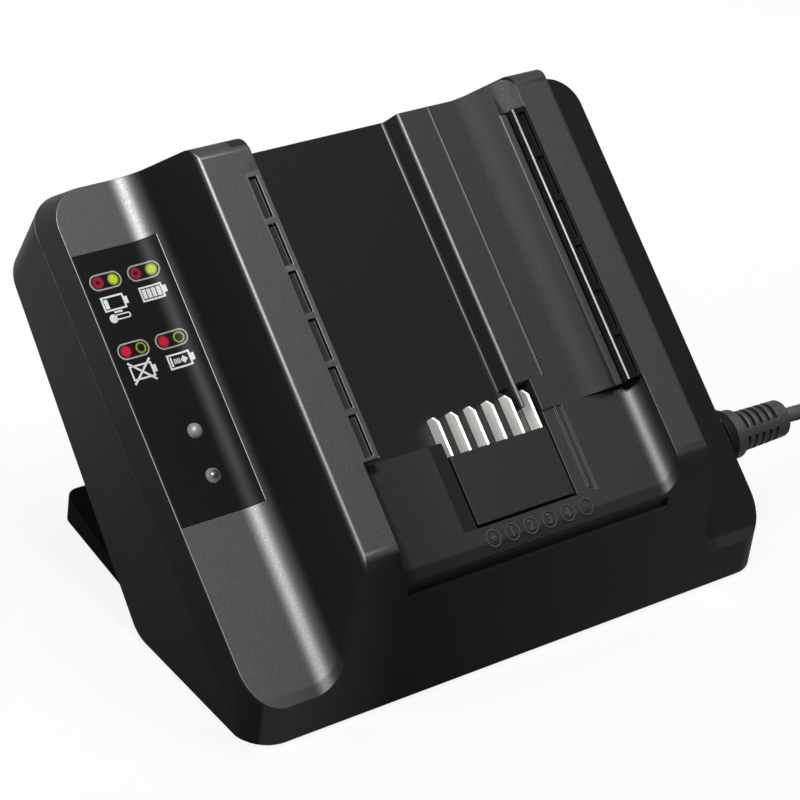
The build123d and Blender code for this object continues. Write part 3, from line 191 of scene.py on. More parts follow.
def grain_group():
    """Spark-eroded grain of moulded plastic: fine pits over a slow waviness."""
    tree, given, out = new_group("Moulded grain", [
        ("Vector", "v", None), ("Scale", "f", 1500.0), ("Waviness", "f", 0.3)],
        [("Height", "f"), ("Value", "f")])
    fine = noise_of(tree, given["Vector"], given["Scale"], 2.0, Roughness=0.55)
    cells = put(tree, "ShaderNodeTexVoronoi", {"Vector": given["Vector"], "Scale": given["Scale"]},
                feature="SMOOTH_F1")
    slow = noise_of(tree, given["Vector"], 60.0, 1.0)
    pits = sum_of(tree, "MULTIPLY", fine, cells.outputs["Distance"])
    wave = sum_of(tree, "MULTIPLY", slow, given["Waviness"])
    tree.links.new(sum_of(tree, "ADD", pits, wave), out["Height"])
    tree.links.new(fine, out["Value"])
    return tree


def tone_group():
    """Slow and fine drift of a colour over a surface."""
    tree, given, out = new_group("Tone drift", [
        ("Vector", "v", None), ("Color", "c", (0.5, 0.5, 0.5, 1.0)), ("Amount", "f", 0.12),
        ("Scale", "f", 35.0)], [("Color", "c"), ("Value", "f")])
    slow = noise_of(tree, given["Vector"], given["Scale"], 4.0, Roughness=0.6)
    swing = sum_of(tree, "SUBTRACT", slow, 0.5)
    part = sum_of(tree, "MULTIPLY_ADD", swing, sum_of(tree, "MULTIPLY", given["Amount"], 4.0), 1.0)
    scaled = put(tree, "ShaderNodeVectorMath", {0: given["Color"], "Scale": part}, operation="SCALE")
    tree.links.new(scaled.outputs[0], out["Color"])
    tree.links.new(slow, out["Value"])
    return tree


def blended_group(name, over_name, over, amount, mask_of):
    """Group that lays a second colour over the first by a mask times an amount."""
    tree, given, out = new_group(name, [
        ("Vector", "v", None), ("Color", "c", (0.5, 0.5, 0.5, 1.0)), (over_name, "c", over),
        ("Amount", "f", amount)], [("Color", "c"), ("Mask", "f")])
    mask = sum_of(tree, "MULTIPLY", mask_of(tree, given["Vector"]), given["Amount"])
    tree.links.new(blend_of(tree, mask, given["Color"], given[over_name]), out["Color"])
    tree.links.new(mask, out["Mask"])
    return tree


def dust_group():
    """Faint dust that settles on what faces up."""
    def settled(tree, vector):
        normal = put(tree, "ShaderNodeNewGeometry").outputs["Normal"]
        split = put(tree, "ShaderNodeSeparateXYZ", {"Vector": normal})
        up = range_of(tree, split.outputs["Z"], 0.2, 0.95)
        specks = noise_of(tree, vector, 420.0, 5.0, Roughness=0.7)
        return sum_of(tree, "MULTIPLY", up, range_of(tree, specks, 0.45, 0.8))
    return blended_group("Settled dust", "Dust", (0.30, 0.29, 0.27, 1.0), 0.03, settled)


def wear_group():
    """Rubbed convex edges, where handling polishes the surface and lightens it."""
    def rubbed(tree, vector):
        shape = put(tree, "ShaderNodeNewGeometry").outputs["Pointiness"]
        edge = range_of(tree, shape, 0.54, 0.68)
        return sum_of(tree, "MULTIPLY", edge, noise_of(tree, vector, 160.0, 4.0))
    return blended_group("Edge wear", "Worn", (0.10, 0.10, 0.10, 1.0), 0.4, rubbed)


# Borders of the sheen's zones of painted shade, in millimetres in the ledges' frame, and how soft each
# is.
BORDERS = {
    "dock side": (57.8, 0.4), "crest top": (31.6, 0.2), "low floor": (24.0, 0.2),
    "step foot": (9.7, 0.3), "bank": (42.5, 5.5), "rail start": (58.0, 1.0), "rail end": (158.7, 0.3),
    "rail wall": (57.4, 0.3), "channel": (49.4, 0.1), "lip": (52.2, 0.1), "right crest": (73.0, 0.5),
    "right ledge": (20.0, 4.0), "left crest": (-70.5, 0.4), "wall foot": (5.0, 1.5),
    "wall head": (30.4, 0.4), "rim": (-0.6, 0.3), "front": (3.0, 0.5),
}


def sheen_shade_group():
    """Share of the sheen by place, painted light and shade on the reflections: full on the left ledge
    and crest, less on the dock, its bank and low floor, the right ledge, the crest wall, the side and
    the front; up the side it grows with the slope, and on the front it rises towards both ends.
    """
    tree, given, out = new_group("Sheen shade zones", [
        ("Vector", "v", None), ("Dock", "f", 0.68), ("Low floor", "f", 0.2), ("Bank", "f", 0.12),
        ("Right ledge", "f", 0.2), ("Crest wall", "f", 0.35), ("Side", "f", 0.85),
        ("Front", "f", 0.45)], [("Value", "f")])
    flat = put(tree, "ShaderNodeMapping", {"Vector": given["Vector"], "Location": LEDGE.translation,
                                           "Rotation": (SLOPE, 0, 0)}, vector_type="TEXTURE")
    at = put(tree, "ShaderNodeSeparateXYZ", {"Vector": flat.outputs[0]}).outputs
    u, v, w = at["X"], at["Y"], at["Z"]
    deep = put(tree, "ShaderNodeSeparateXYZ", {"Vector": given["Vector"]}).outputs["Y"]

    def under(value, border):
        """1 where a value is under its border, else 0."""
        limit, soft = BORDERS[border]
        return range_of(tree, value, (limit - soft) * MM, (limit + soft) * MM, 1.0, 0.0,
                        interpolation_type="SMOOTHSTEP")

    def over(value, border):
        return sum_of(tree, "SUBTRACT", 1.0, under(value, border))

    def product(*masks):
        return reduce(lambda first, second: sum_of(tree, "MULTIPLY", first, second), masks)

    def laid(start, mask, share):
        """A share laid over another where its mask is 1."""
        return put(tree, "ShaderNodeMix", {0: mask, 2: start, 3: share}, data_type="FLOAT").outputs[0]

    inside = product(under(sum_of(tree, "ABSOLUTE", u), "dock side"), under(w, "crest top"))
    channel = product(over(u, "channel"), under(u, "lip"), under(v, "rail end"))
    bank = product(over(u, "bank"), over(v, "rail start"), under(u, "rail wall"),
                   sum_of(tree, "SUBTRACT", 1.0, channel))
    climb = range_of(tree, v, 0.0, 0.176)
    side = sum_of(tree, "MULTIPLY_ADD", product(climb, climb), given["Side"], 0.15)
    nose = sum_of(tree, "MAXIMUM", range_of(tree, u, -0.06, 0.07, 0.3, 1.0),
                  range_of(tree, u, -0.1, -0.055, 2.0, 0.3))
    low = product(inside, under(w, "low floor"), under(u, "step foot"))
    ledge = product(over(u, "right crest"), under(w, "right ledge"))
    wall = product(under(u, "left crest"), over(w, "wall foot"), under(w, "wall head"))
    # Each lower share paints shade onto the reflections where the lamps leave them lit.
    share = 1.0
    for mask, value in (
            (inside, product(given["Dock"], range_of(tree, u, -0.055, 0.012, 0.5, 1.0))),
            (bank, given["Bank"]), (low, given["Low floor"]), (ledge, given["Right ledge"]),
            (wall, given["Crest wall"]), (under(w, "rim"), side),
            (under(deep, "front"), product(nose, given["Front"]))):
        share = laid(share, mask, value)
    tree.links.new(share, out["Value"])
    return tree


def brushed_group():
    """Fine parallel lines of rolled or drawn metal, along the axis that Stretch keeps short."""
    tree, given, out = new_group("Brushed lines", [
        ("Vector", "v", None), ("Stretch", "v", (1.0, 1.0, 12.0)), ("Scale", "f", 900.0),
        ("Rough", "f", 0.28)], [("Height", "f"), ("Roughness", "f")])
    drawn = put(tree, "ShaderNodeVectorMath", {0: given["Vector"], 1: given["Stretch"]},
                operation="MULTIPLY")
    lines = noise_of(tree, drawn.outputs[0], given["Scale"], 3.0, Roughness=0.6)
    tree.links.new(lines, out["Height"])
    smooth = sum_of(tree, "SUBTRACT", given["Rough"], 0.12)
    tree.links.new(sum_of(tree, "MULTIPLY_ADD", lines, 0.24, smooth), out["Roughness"])
    return tree


GROUP_MAKERS = {"Moulded grain": grain_group, "Tone drift": tone_group, "Settled dust": dust_group,
                "Edge wear": wear_group, "Sheen shade zones": sheen_shade_group, "Brushed lines": brushed_group}


def solid(rgb):
    return (rgb[0], rgb[1], rgb[2], 1.0)


class Finish:
    """A new material: its Principled shader and the object coordinates that its patterns follow."""

    def __init__(self, name):
        self.material = bpy.data.materials.new(name)
        self.material.use_nodes = True
        self.tree = self.material.node_tree
        self.shader = self.tree.nodes["Principled BSDF"]
        self.place = put(self.tree, "ShaderNodeTexCoord").outputs["Object"]

    def use(self, name, **feeds):
        """A shader group placed in the material, built on its first use; returns its outputs."""
        made = self.tree.nodes.new("ShaderNodeGroup")
        made.node_tree = bpy.data.node_groups.get(name) or GROUP_MAKERS[name]()
        made.label = name
        for key, value in {"Vector": self.place, **feeds}.items():
            feed(self.tree, made.inputs[key], value)
        return made.outputs

    def tone(self, rgb, **feeds):
        return self.use("Tone drift", Color=solid(rgb), **feeds)

    def feed(self, socket, value):
        feed(self.tree, self.shader.inputs[socket], value)

    def roughen(self, value, swing, base):
        """Roughness that follows a value over the surface."""
        self.feed("Roughness", sum_of(self.tree, "MULTIPLY_ADD", value, swing, base))

    def bump(self, height, depth):
        """Surface relief, its depth in metres."""
        relief = put(self.tree, "ShaderNodeBump", {"Height": height, "Distance": depth})
        self.feed("Normal", relief.outputs[0])
        return self.material


def once(maker):
    """A finish that is made once and then found by its name."""
    def wrapped(name, *values, **named):
        return bpy.data.materials.get(name) or maker(name, *values, **named)
    return wrapped


@once
def moulded(name, rgb, rough=0.5, grain=1500.0, depth=0.00003, wear=0.2, dust=0.006, specular=0.5,
            sheen_shaded=False):
    """Moulded thermoplastic with grain, drift, worn edges and a trace of dust, and if asked, painted
    shade on its sheen by place.
    """
    made = Finish(name)
    pale = solid([min(1.0, part * 2.4 + 0.01) for part in rgb])
    worn = made.use("Edge wear", Color=made.tone(rgb, Amount=0.08)["Color"], Worn=pale, Amount=wear)
    dusty = made.use("Settled dust", Color=worn["Color"], Amount=dust)
    made.feed("Base Color", dusty["Color"])
    pits = made.use("Moulded grain", Scale=grain)
    made.roughen(pits["Value"], 0.16, sum_of(made.tree, "ADD", dusty["Mask"], rough - 0.08))
    made.feed("Specular IOR Level", specular)
    # Where asked, the sheen's zones paint shade onto the reflections by place.
    if sheen_shaded:
        share = made.use("Sheen shade zones")["Value"]
        made.feed("Specular IOR Level", sum_of(made.tree, "MULTIPLY", share, specular))
    return made.bump(pits["Height"], depth)


def gloss_sheet(name, rgb):
    """Foil over a dark printed ground, with faint orange peel."""
    made = Finish(name)
    tone = made.tone(rgb, Amount=0.05, Scale=20.0)
    made.feed("Base Color", made.use("Settled dust", Color=tone["Color"], Amount=0.012)["Color"])
    made.roughen(tone["Value"], 0.10, 0.45)
    made.feed("Specular IOR Level", 0.009)
    return made.bump(made.use("Moulded grain", Scale=320.0, Waviness=0.5)["Height"], 0.000005)


def ink(name, rgb):
    """Screen-printed ink: flat, slightly raised, with a fine mesh mark."""
    made = Finish(name)
    made.feed("Base Color", made.tone(rgb, Amount=0.03, Scale=300.0)["Color"])
    screen = made.use("Moulded grain", Scale=4000.0, Waviness=0.0)
    made.roughen(screen["Value"], 0.1, 0.4)
    made.feed("Specular IOR Level", 0.01)
    return made.bump(screen["Height"], 0.000006)


@once
def rubber(name, rgb, rough=0.62):
    """Extruded or moulded rubber, with a dry bloom."""
    made = Finish(name)
    tone = made.tone(rgb, Amount=0.14, Scale=90.0)
    made.feed("Base Color", made.use("Settled dust", Color=tone["Color"], Amount=0.05)["Color"])
    skin = made.use("Moulded grain", Scale=2200.0, Waviness=0.6)
    made.roughen(skin["Value"], 0.2, rough - 0.1)
    made.feed("Specular IOR Level", 0.15)
    return made.bump(skin["Height"], 0.00004)


TARNISH = (0.30, 0.24, 0.17)


@once
def metal(name, rgb, rough=0.28, stretch=(1.0, 1.0, 14.0), scale=900.0, metallic=1.0):
    """Rolled, drawn or plated metal with fine lines and a breath of tarnish."""
    made = Finish(name)
    tone = made.tone(rgb, Amount=0.05, Scale=140.0)
    stain = range_of(made.tree, tone["Value"], 0.58, 0.8, 0.0, 0.35)
    made.feed("Base Color", blend_of(made.tree, stain, tone["Color"], solid(TARNISH)))
    lines = made.use("Brushed lines", Stretch=stretch, Scale=scale, Rough=rough)
    made.feed("Roughness", lines["Roughness"])
    made.feed("Metallic", metallic)
    return made.bump(lines["Height"], 0.000012)


# A lamp's painted core, shade in the clear lamp and lighter than a shaded rim in the clouded one, fades
# out between these distances from its axis, in metres.
PAINTED_CORE_REACH = (0.0011, 0.0021)


def clear_resin(name, rgb, rough, cloud, core=None, centre=None):
    """Cast resin: clear, or clouded by its diffuser, with another tint about a lamp's axis that is
    painted light and shade: a dark core for the shade inside the clear lamp, a lighter core within a
    darker rim on the clouded one.
    """
    made = Finish(name)
    tint = made.tone(rgb, Amount=0.1, Scale=900.0)["Color"]
    if core:
        local = put(made.tree, "ShaderNodeMapping", {
            "Vector": made.place, "Location": centre, "Rotation": (SLOPE, 0, 0),
            "Scale": (1, 1, 1000)}, vector_type="TEXTURE").outputs[0]
        radius = put(made.tree, "ShaderNodeVectorMath", {0: local}, operation="LENGTH").outputs["Value"]
        tint = blend_of(made.tree, range_of(made.tree, radius, *PAINTED_CORE_REACH, 1.0, 0.0), tint, solid(core))
    made.feed("Base Color", tint)
    for socket, value in (("Transmission Weight", cloud), ("IOR", 1.54), ("Specular IOR Level", 0.03)):
        made.feed(socket, value)
    skin = made.use("Moulded grain", Scale=1800.0)
    made.roughen(skin["Value"], 0.08, rough - 0.04)
    return made.bump(skin["Height"], 0.000004)


def laminate(name):
    """Circuit board: solder mask over copper, with faint tracks."""
    made = Finish(name)
    level = put(made.tree, "ShaderNodeMapping", {"Vector": made.place, "Rotation": (-SLOPE, 0, 0)})
    tracks = put(made.tree, "ShaderNodeTexBrick", {
        "Vector": level.outputs[0], "Scale": 120.0, "Mortar Size": 0.03,
        "Color1": (0.012, 0.085, 0.022, 1), "Color2": (0.016, 0.10, 0.03, 1),
        "Mortar": (0.006, 0.05, 0.014, 1)}).outputs
    tone = made.use("Tone drift", Color=tracks["Color"], Amount=0.1)
    made.feed("Base Color", tone["Color"])
    made.roughen(tone["Value"], 0.15, 0.3)
    return made.bump(tracks["Fac"], 0.00003)


def wound(name, rgb, pitch):
    """Wire or tape wound in fine parallel turns."""
    made = Finish(name)
    turns = put(made.tree, "ShaderNodeTexWave", {
        "Vector": made.place, "Scale": pitch, "Distortion": 0.6, "Detail": 1.0},
        wave_type="BANDS", bands_direction="Z").outputs["Fac"]
    tone = made.tone(rgb, Amount=0.1, Scale=80.0)
    dark = solid([part * 0.45 for part in rgb])
    made.feed("Base Color", blend_of(made.tree, turns, dark, tone["Color"]))
    made.roughen(turns, -0.1, 0.45)
    return made.bump(turns, 0.0001)


# ---------------------------------------------------------------- mesh building blocks
SAME_PLACE = 0.000004    # corners of a CAD mesh closer than this are one


def to_piece(mesh_edit, name, finish, body="charger", stands_for=(), sharp=32.0, even=True):
    """Object from an edited mesh, finished, riding on its body."""
    bmesh.ops.recalc_face_normals(mesh_edit, faces=mesh_edit.faces)
    for face in mesh_edit.faces:
        face.smooth = True
    for edge in mesh_edit.edges:
        edge.smooth = len(edge.link_faces) == 2 and edge.calc_face_angle(0.0) < radians(sharp)
    mesh = bpy.data.meshes.new(name)
    mesh_edit.to_mesh(mesh)
    mesh_edit.free()
    mesh.materials.append(finish)
    made = bpy.data.objects.new(name, mesh)
    bpy.context.scene.collection.objects.link(made)
    if even:
        normals = made.modifiers.new("Even normals", "WEIGHTED_NORMAL")
        normals.keep_sharp = True
    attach(made, body)
    if stands_for:
        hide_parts(*stands_for)
    return made


def grow(work, offset):
    """Extrudes every face of an edited mesh."""
    made = bmesh.ops.extrude_face_region(work, geom=work.faces[:])
    ends = [item for item in made["geom"] if isinstance(item, bmesh.types.BMVert)]
    bmesh.ops.translate(work, verts=ends, vec=offset)


def lay(work, matrix):
    """Takes an edited mesh from millimetres to its place."""
    bmesh.ops.transform(work, matrix=matrix @ Matrix.Scale(MM, 4), verts=work.verts)


def absorb(whole, part):
    """Adds one edited mesh to another."""
    mesh = bpy.data.meshes.new("part")
    part.to_mesh(mesh)
    part.free()
    whole.from_mesh(mesh)
    bpy.data.meshes.remove(mesh)


def merged(node):
    """Edited mesh of a CAD node with its loose triangles joined."""
    work = bmesh.new()
    work.from_mesh(NODES[node].data)
    bmesh.ops.remove_doubles(work, verts=work.verts, dist=SAME_PLACE)
    return work


def joined(first, second):
    """Edited mesh of two CAD nodes grown into one."""
    holders = []
    for node in (first, second):
        mesh = bpy.data.meshes.new(node)
        work = merged(node)
        work.to_mesh(mesh)
        work.free()
        holder = bpy.data.objects.new(node, mesh)
        bpy.context.scene.collection.objects.link(holder)
        holders.append(holder)
    union = holders[0].modifiers.new("Union", "BOOLEAN")
    union.operation, union.solver, union.object = "UNION", "EXACT", holders[1]
    bpy.context.view_layer.update()
    whole = holders[0].evaluated_get(bpy.context.evaluated_depsgraph_get())
    grown = bpy.data.meshes.new_from_object(whole)
    work = bmesh.new()
    work.from_mesh(grown)
    for holder in holders:
        mesh = holder.data
        bpy.data.objects.remove(holder)
        bpy.data.meshes.remove(mesh)
    bpy.data.meshes.remove(grown)
    bmesh.ops.remove_doubles(work, verts=work.verts, dist=SAME_PLACE)
    return work


def rounded_lines(work, lines):
    """Rounds the edges that run up the slope at each (u, w), in millimetres, with its own width."""
    back = LEDGE.inverted()
    for u, w, width in lines:
        chosen = []
        for edge in work.edges:
            ends = [(back @ vert.co) / MM for vert in edge.verts]
            if all(abs(end.x - u) < 0.05 and abs(end.z - w) < 0.05 for end in ends):
                chosen.append(edge)
        bmesh.ops.bevel(work, geom=chosen, offset=width * MM, offset_type="OFFSET", segments=4,
                        profile=0.5, affect="EDGES", clamp_overlap=True, material=-1)


def softened(node, name, finish, width, body="charger", sharp=30.0, joins=None, lines=()):
    """Copy of a CAD node with its loose triangles joined and its sharp edges rounded."""
    work = joined(node, joins) if joins else merged(node)
    bmesh.ops.dissolve_limit(work, angle_limit=radians(0.5), verts=work.verts, edges=work.edges)
    rounded_lines(work, lines)
    if width > 0:
        edges = [edge for edge in work.edges
                 if len(edge.link_faces) == 2 and edge.calc_face_angle(0.0) > radians(sharp)]
        surface = BVHTree.FromBMesh(work)
        bmesh.ops.bevel(work, geom=edges, offset=width, offset_type="OFFSET", segments=2,
                        profile=0.5, affect="EDGES", clamp_overlap=False, material=-1)
        for vert in work.verts:
            nearest, _, _, gap = surface.find_nearest(vert.co)
            if gap > width / 2:
                vert.co = nearest
    return to_piece(work, name, finish, body, (node, joins) if joins else (node,))


def turned(profile, steps=48, place=Matrix.Identity(4)):
    """Edited mesh spun about Z from (radius, height) points, in millimetres."""
    work = bmesh.new()
    last = None
    for radius, height in profile:
        point = work.verts.new((radius * MM, 0, height * MM))
        if last:
            work.edges.new((last, point))
        last = point
    bmesh.ops.spin(work, geom=work.verts[:] + work.edges[:], cent=(0, 0, 0), axis=(0, 0, 1),
                   angle=2 * pi, steps=steps, use_merge=True)
    bmesh.ops.remove_doubles(work, verts=work.verts, dist=0.000001)
    bmesh.ops.transform(work, matrix=place, verts=work.verts)
    return work


INK_STEP = 0.5      # the artwork is cut this fine where the panel bends
INK_FOOT = -0.03    # level of its underside, just in the panel


def on_panel(flat, lift):
    """Gives flat (s, v) artwork in millimetres its thickness and lays it on the panel."""
    widest = max(vert.co.x for vert in flat.verts)
    cut = PANEL_FLAT - INK_STEP
    while cut < widest:
        bmesh.ops.bisect_plane(flat, geom=flat.verts[:] + flat.edges[:] + flat.faces[:], dist=0.0001,
                               plane_co=(cut, 0, 0), plane_no=(1, 0, 0))
        cut += INK_STEP
    grow(flat, (0, 0, lift / MM))
    for vert in flat.verts:
        s, v, height = vert.co
        height = height if height > 0 else INK_FOOT
        turn = max(0.0, s - PANEL_FLAT) / PANEL_BEND
        reach = PANEL_BEND - height
        place = Vector((PANEL_EDGE_U + min(s, PANEL_FLAT) + reach * sin(turn), v,
                        PANEL_BEND - reach * cos(turn)))
        vert.co = LEDGE @ (place * MM)
    return flat


# Flat artwork, all in millimetres in the (s, v) plane of the panel.
def disc(work, s, v, radius):
    bmesh.ops.create_circle(work, cap_ends=True, segments=28, radius=radius,
                            matrix=Matrix.Translation((s, v, 0)))


def loop(work, s, v, radius, stretch):
    """Closed outline: a circle, or two half circles drawn apart along s."""
    made = bmesh.ops.create_circle(work, cap_ends=False, segments=32, radius=radius)
    for vert in made["verts"]:
        if abs(vert.co.x) > radius * 0.01:
            vert.co.x += stretch if vert.co.x > 0 else -stretch
    bmesh.ops.translate(work, verts=made["verts"], vec=(s, v, 0))
    return list({edge for vert in made["verts"] for edge in vert.link_edges})


def ring(work, s, v, radius, stroke, stretch=0.0):
    """Band between two outlines."""
    edges = loop(work, s, v, radius, stretch) + loop(work, s, v, radius - stroke, stretch)
    bmesh.ops.bridge_loops(work, edges=edges)


def bar(work, s, v, wide, high, turn=0.0):
    """Filled rectangle, turned about its centre."""
    shape = Matrix.Translation((s, v, 0)) @ Matrix.Rotation(radians(turn), 4, "Z") @ Matrix.Diagonal(
        (wide / 2, high / 2, 1, 1))
    return bmesh.ops.create_grid(work, x_segments=1, y_segments=1, size=1.0, matrix=shape)["verts"]


def frame_of(work, s, v, wide, high, stroke):
    """Rectangular outline."""
    verts = bar(work, s, v, wide, high)
    face = verts[0].link_faces[0]
    bmesh.ops.inset_region(work, faces=[face], thickness=stroke, use_boundary=True,
                           use_even_offset=True)
    bmesh.ops.delete(work, geom=[face], context="FACES_ONLY")


# ---------------------------------------------------------------- stage
FOCUS = Vector((-0.00544, 0.07099, 0.05988))
CAMERA_PLACE = Vector((-0.568246, -0.559823, 0.571711))
CAMERA_ROLL = 7.95


def soft_light(name, place, size, power, diffuse=True):
    lamp = bpy.data.lights.new(name, "AREA")
    lamp.shape = "RECTANGLE"
    lamp.size, lamp.size_y = size
    lamp.energy = power
    made = bpy.data.objects.new(name, lamp)
    made.location = place
    made.rotation_euler = (FOCUS - Vector(place)).to_track_quat("-Z", "Y").to_euler()
    made.visible_diffuse = diffuse
    bpy.context.scene.collection.objects.link(made)
    return made


class CHARGER_OT_stage(bpy.types.Operator):
    """Set up the camera, the soft studio lights and the pale floor"""

    bl_idname = "charger.stage"
    bl_label = "Stage"

    def execute(self, context):
        scene, look = context.scene, context.scene.charger_stage
        scene.view_settings.view_transform = "Standard"

        lens = bpy.data.cameras.new("camera")
        lens.lens, lens.sensor_width = 135.0, 36.0
        camera = bpy.data.objects.new("camera", lens)
        camera.location = CAMERA_PLACE
        turn = (FOCUS - CAMERA_PLACE).to_track_quat("-Z", "Y")
        camera.rotation_euler = (turn @ Quaternion((0, 0, 1), radians(CAMERA_ROLL))).to_euler()
        scene.collection.objects.link(camera)
        scene.camera = camera

        soft_light("key_light", (0.25, 0.10, 1.15), (0.9, 0.9), look.key)
        soft_light("sheen_light", (-0.654, -0.581, 2.0), (0.3, 0.3), look.sheen, diffuse=False)
        soft_light("fill_light", (-1.1, 0.10, 0.55), (0.7, 0.5), look.fill)
        soft_light("back_light", (0.25, 1.05, 0.75), (0.9, 0.5), look.rim)

        world = bpy.data.worlds.new("studio")
        world.use_nodes = True
        scene.world = world
        tree = world.node_tree
        tree.nodes.clear()
        path = put(tree, "ShaderNodeLightPath").outputs
        seen = sum_of(tree, "MAXIMUM", path["Is Camera Ray"], path["Is Transmission Ray"])
        shown = sum_of(tree, "MAXIMUM", seen, sum_of(tree, "MULTIPLY", path["Is Glossy Ray"], 0.6))
        strength = put(tree, "ShaderNodeMapRange", {"Value": shown, "To Min": look.sky, "To Max": 1.0})
        sky = put(tree, "ShaderNodeBackground", {"Color": (1, 1, 1, 1), "Strength": strength.outputs[0]})
        end = tree.nodes.new("ShaderNodeOutputWorld")
        tree.links.new(sky.outputs[0], end.inputs[0])

        work = bmesh.new()
        bmesh.ops.create_grid(work, x_segments=1, y_segments=1, size=3.0)
        mesh = bpy.data.meshes.new("floor")
        work.to_mesh(mesh)
        work.free()
        floor = bpy.data.objects.new("floor", mesh)
        scene.collection.objects.link(floor)
        paper = bpy.data.materials.new("white paper")
        paper.use_nodes = True
        tree = paper.node_tree
        tree.nodes.clear()
        matt = put(tree, "ShaderNodeBsdfDiffuse", {"Color": (0.86, 0.86, 0.86, 1)})
        glow = put(tree, "ShaderNodeEmission", {"Color": (1, 1, 1, 1), "Strength": 1.0})
        path = put(tree, "ShaderNodeLightPath").outputs
        clear = sum_of(tree, "MULTIPLY", sum_of(tree, "MAXIMUM", path["Is Camera Ray"],
                                                path["Is Transmission Ray"]), 0.86)
        share = sum_of(tree, "MAXIMUM", clear, sum_of(tree, "MULTIPLY", path["Is Glossy Ray"], 0.25))
        mixed = put(tree, "ShaderNodeMixShader", {0: share, 1: matt.outputs[0], 2: glow.outputs[0]})
        end = tree.nodes.new("ShaderNodeOutputMaterial")
        tree.links.new(mixed.outputs[0], end.inputs[0])
        mesh.materials.append(paper)
        return {"FINISHED"}


# ---------------------------------------------------------------- cord
CORD_EXIT = (140.0, 34.0, 32.0)
CORD_ROUTE = [(155.0, 34.0, 32.0), (169.5, 36.0, 26.0), (180.5, 42.0, 12.5), (190.5, 51.0, 4.2)]
COIL_CENTRE = (210.0, 19.6)
COIL_TURNS = (39.8, 34.4, 29.0, 23.6)
COIL_LEVELS = (2.8, 8.2)
COIL_STEP = radians(22.5)
END_ROUTE = [(250.2, 20.0, 8.1), (250.2, 8.0, 7.2), (250.2, -4.0, 7.2)]


def ramp(at, start, end):
    """0 before start, 1 after end, straight between."""
    return min(1.0, max(0.0, (at - start) / (end - start)))


def coil_points():
    """Two layers of flat turns: inwards below, then up, and outwards on top."""
    points = []
    fit = 4 / (3 + cos(COIL_STEP))
    pitch = COIL_TURNS[0] - COIL_TURNS[1]
    for i in range(-1, 116):
        inward = sum(ramp(i, 16 * turn + 13, 16 * turn + 16) for turn in range(3))
        outward = sum(ramp(i, 64 + 16 * turn + 6, 64 + 16 * turn + 9) for turn in range(3))
        radius = (COIL_TURNS[0] + (outward - inward) * pitch) * fit
        rise = ramp(i, 56, 60)
        level = COIL_LEVELS[0] + rise * (COIL_LEVELS[1] - COIL_LEVELS[0])
        angle = pi / 2 - i * COIL_STEP
        points.append((COIL_CENTRE[0] + radius * cos(angle), COIL_CENTRE[1] + radius * sin(angle),
                       level))
    return points


class CHARGER_OT_cord(bpy.types.Operator):
    """Lay the mains cord from its strain relief to the coil and the plug"""

    bl_idname = "charger.cord"
    bl_label = "Mains cord"

    def execute(self, context):
        sizes, colours = settings_of(context)
        curve = bpy.data.curves.new("mains_cord_run", "CURVE")
        curve.dimensions = "3D"
        curve.bevel_depth = sizes.cord / 2
        curve.bevel_resolution = 5
        curve.resolution_u = 4
        curve.use_fill_caps = True
        route = [CORD_EXIT] + CORD_ROUTE + coil_points() + END_ROUTE
        spline = curve.splines.new("NURBS")
        spline.points.add(len(route) - 1)
        for point, place in zip(spline.points, route):
            point.co = [part * MM for part in place] + [1.0]
        spline.order_u = 3
        spline.use_endpoint_u = True
        made = bpy.data.objects.new("mains_cord_run", curve)
        context.scene.collection.objects.link(made)
        curve.materials.append(rubber("cord rubber", colours.rubber))
        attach(made, "charger")
        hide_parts("mains_cord", "mains_cord_coil", "mains_cord_end")
        return {"FINISHED"}


PIN_RADIUS = 2.0


def pin_steel():
    return metal("pin steel", (0.66, 0.64, 0.60), 0.22, (14.0, 1.0, 14.0))


class CHARGER_OT_plug(bpy.types.Operator):
    """Finish the plug: moulded body with grip ribs, and two round pins"""

    bl_idname = "charger.plug"
    bl_label = "Plug"

    def execute(self, context):
        colours = context.scene.charger_colours
        soft = rubber("plug rubber", [part * 1.15 for part in colours.rubber], 0.55)
        softened("mains_plug", "plug_body", soft, 0.0, sharp=40.0)
        pins = bmesh.new()
        low, high = (Vector(corner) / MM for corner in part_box("plug_pins"))
        run = high.y - low.y
        profile = [(0, 0), (PIN_RADIUS, 0), (PIN_RADIUS, run - 0.9), (1.7, run - 0.35),
                   (1.1, run - 0.05), (0, run)]
        for x in (low.x + PIN_RADIUS, high.x - PIN_RADIUS):
            root = Matrix.Translation(Vector((x, high.y, low.z + PIN_RADIUS)) * MM)
            absorb(pins, turned(profile, 32, root @ Matrix.Rotation(pi / 2, 4, "X")))
        to_piece(pins, "plug_contact_pins", pin_steel(), stands_for=("plug_pins",),
                 sharp=50.0)
        return {"FINISHED"}


# ---------------------------------------------------------------- housing
def rim(name, u, w, run):
    """Fine moulded rim that runs up the slope from run[0] to run[1], rising to the right of (u, w)."""
    work = bmesh.new()
    lean = radians(RIM_LEAN)
    corners = ((u, w), (u + RIM_WIDTH * cos(lean), w + RIM_WIDTH * sin(lean)), (u + RIM_WIDTH, w))
    work.faces.new([work.verts.new((across, run[0], up)) for across, up in corners])
    grow(work, (0, run[1] - run[0], 0))
    lay(work, LEDGE)
    to_piece(work, name, bpy.data.materials["housing plastic"], even=False)


class CHARGER_OT_housing(bpy.types.Operator):
    """Finish both shells and the guide rail lips in grained plastic with rounded edges"""

    bl_idname = "charger.housing"
    bl_label = "Housing"

    def execute(self, context):
        sizes, colours = settings_of(context)
        # Its sheen is dimmed by place in the sheen's zones: painted shade on the reflections.
        plastic = moulded("housing plastic", colours.housing, specular=0.1, sheen_shaded=True)
        softened("upper_housing", "top_shell", plastic, sizes.edge,
                 joins="rail_lips", lines=DOCK_LINES)
        softened("lower_housing", "base_shell", plastic, sizes.edge)
        rim("rail_rim", *RAIL_RIM)
        return {"FINISHED"}


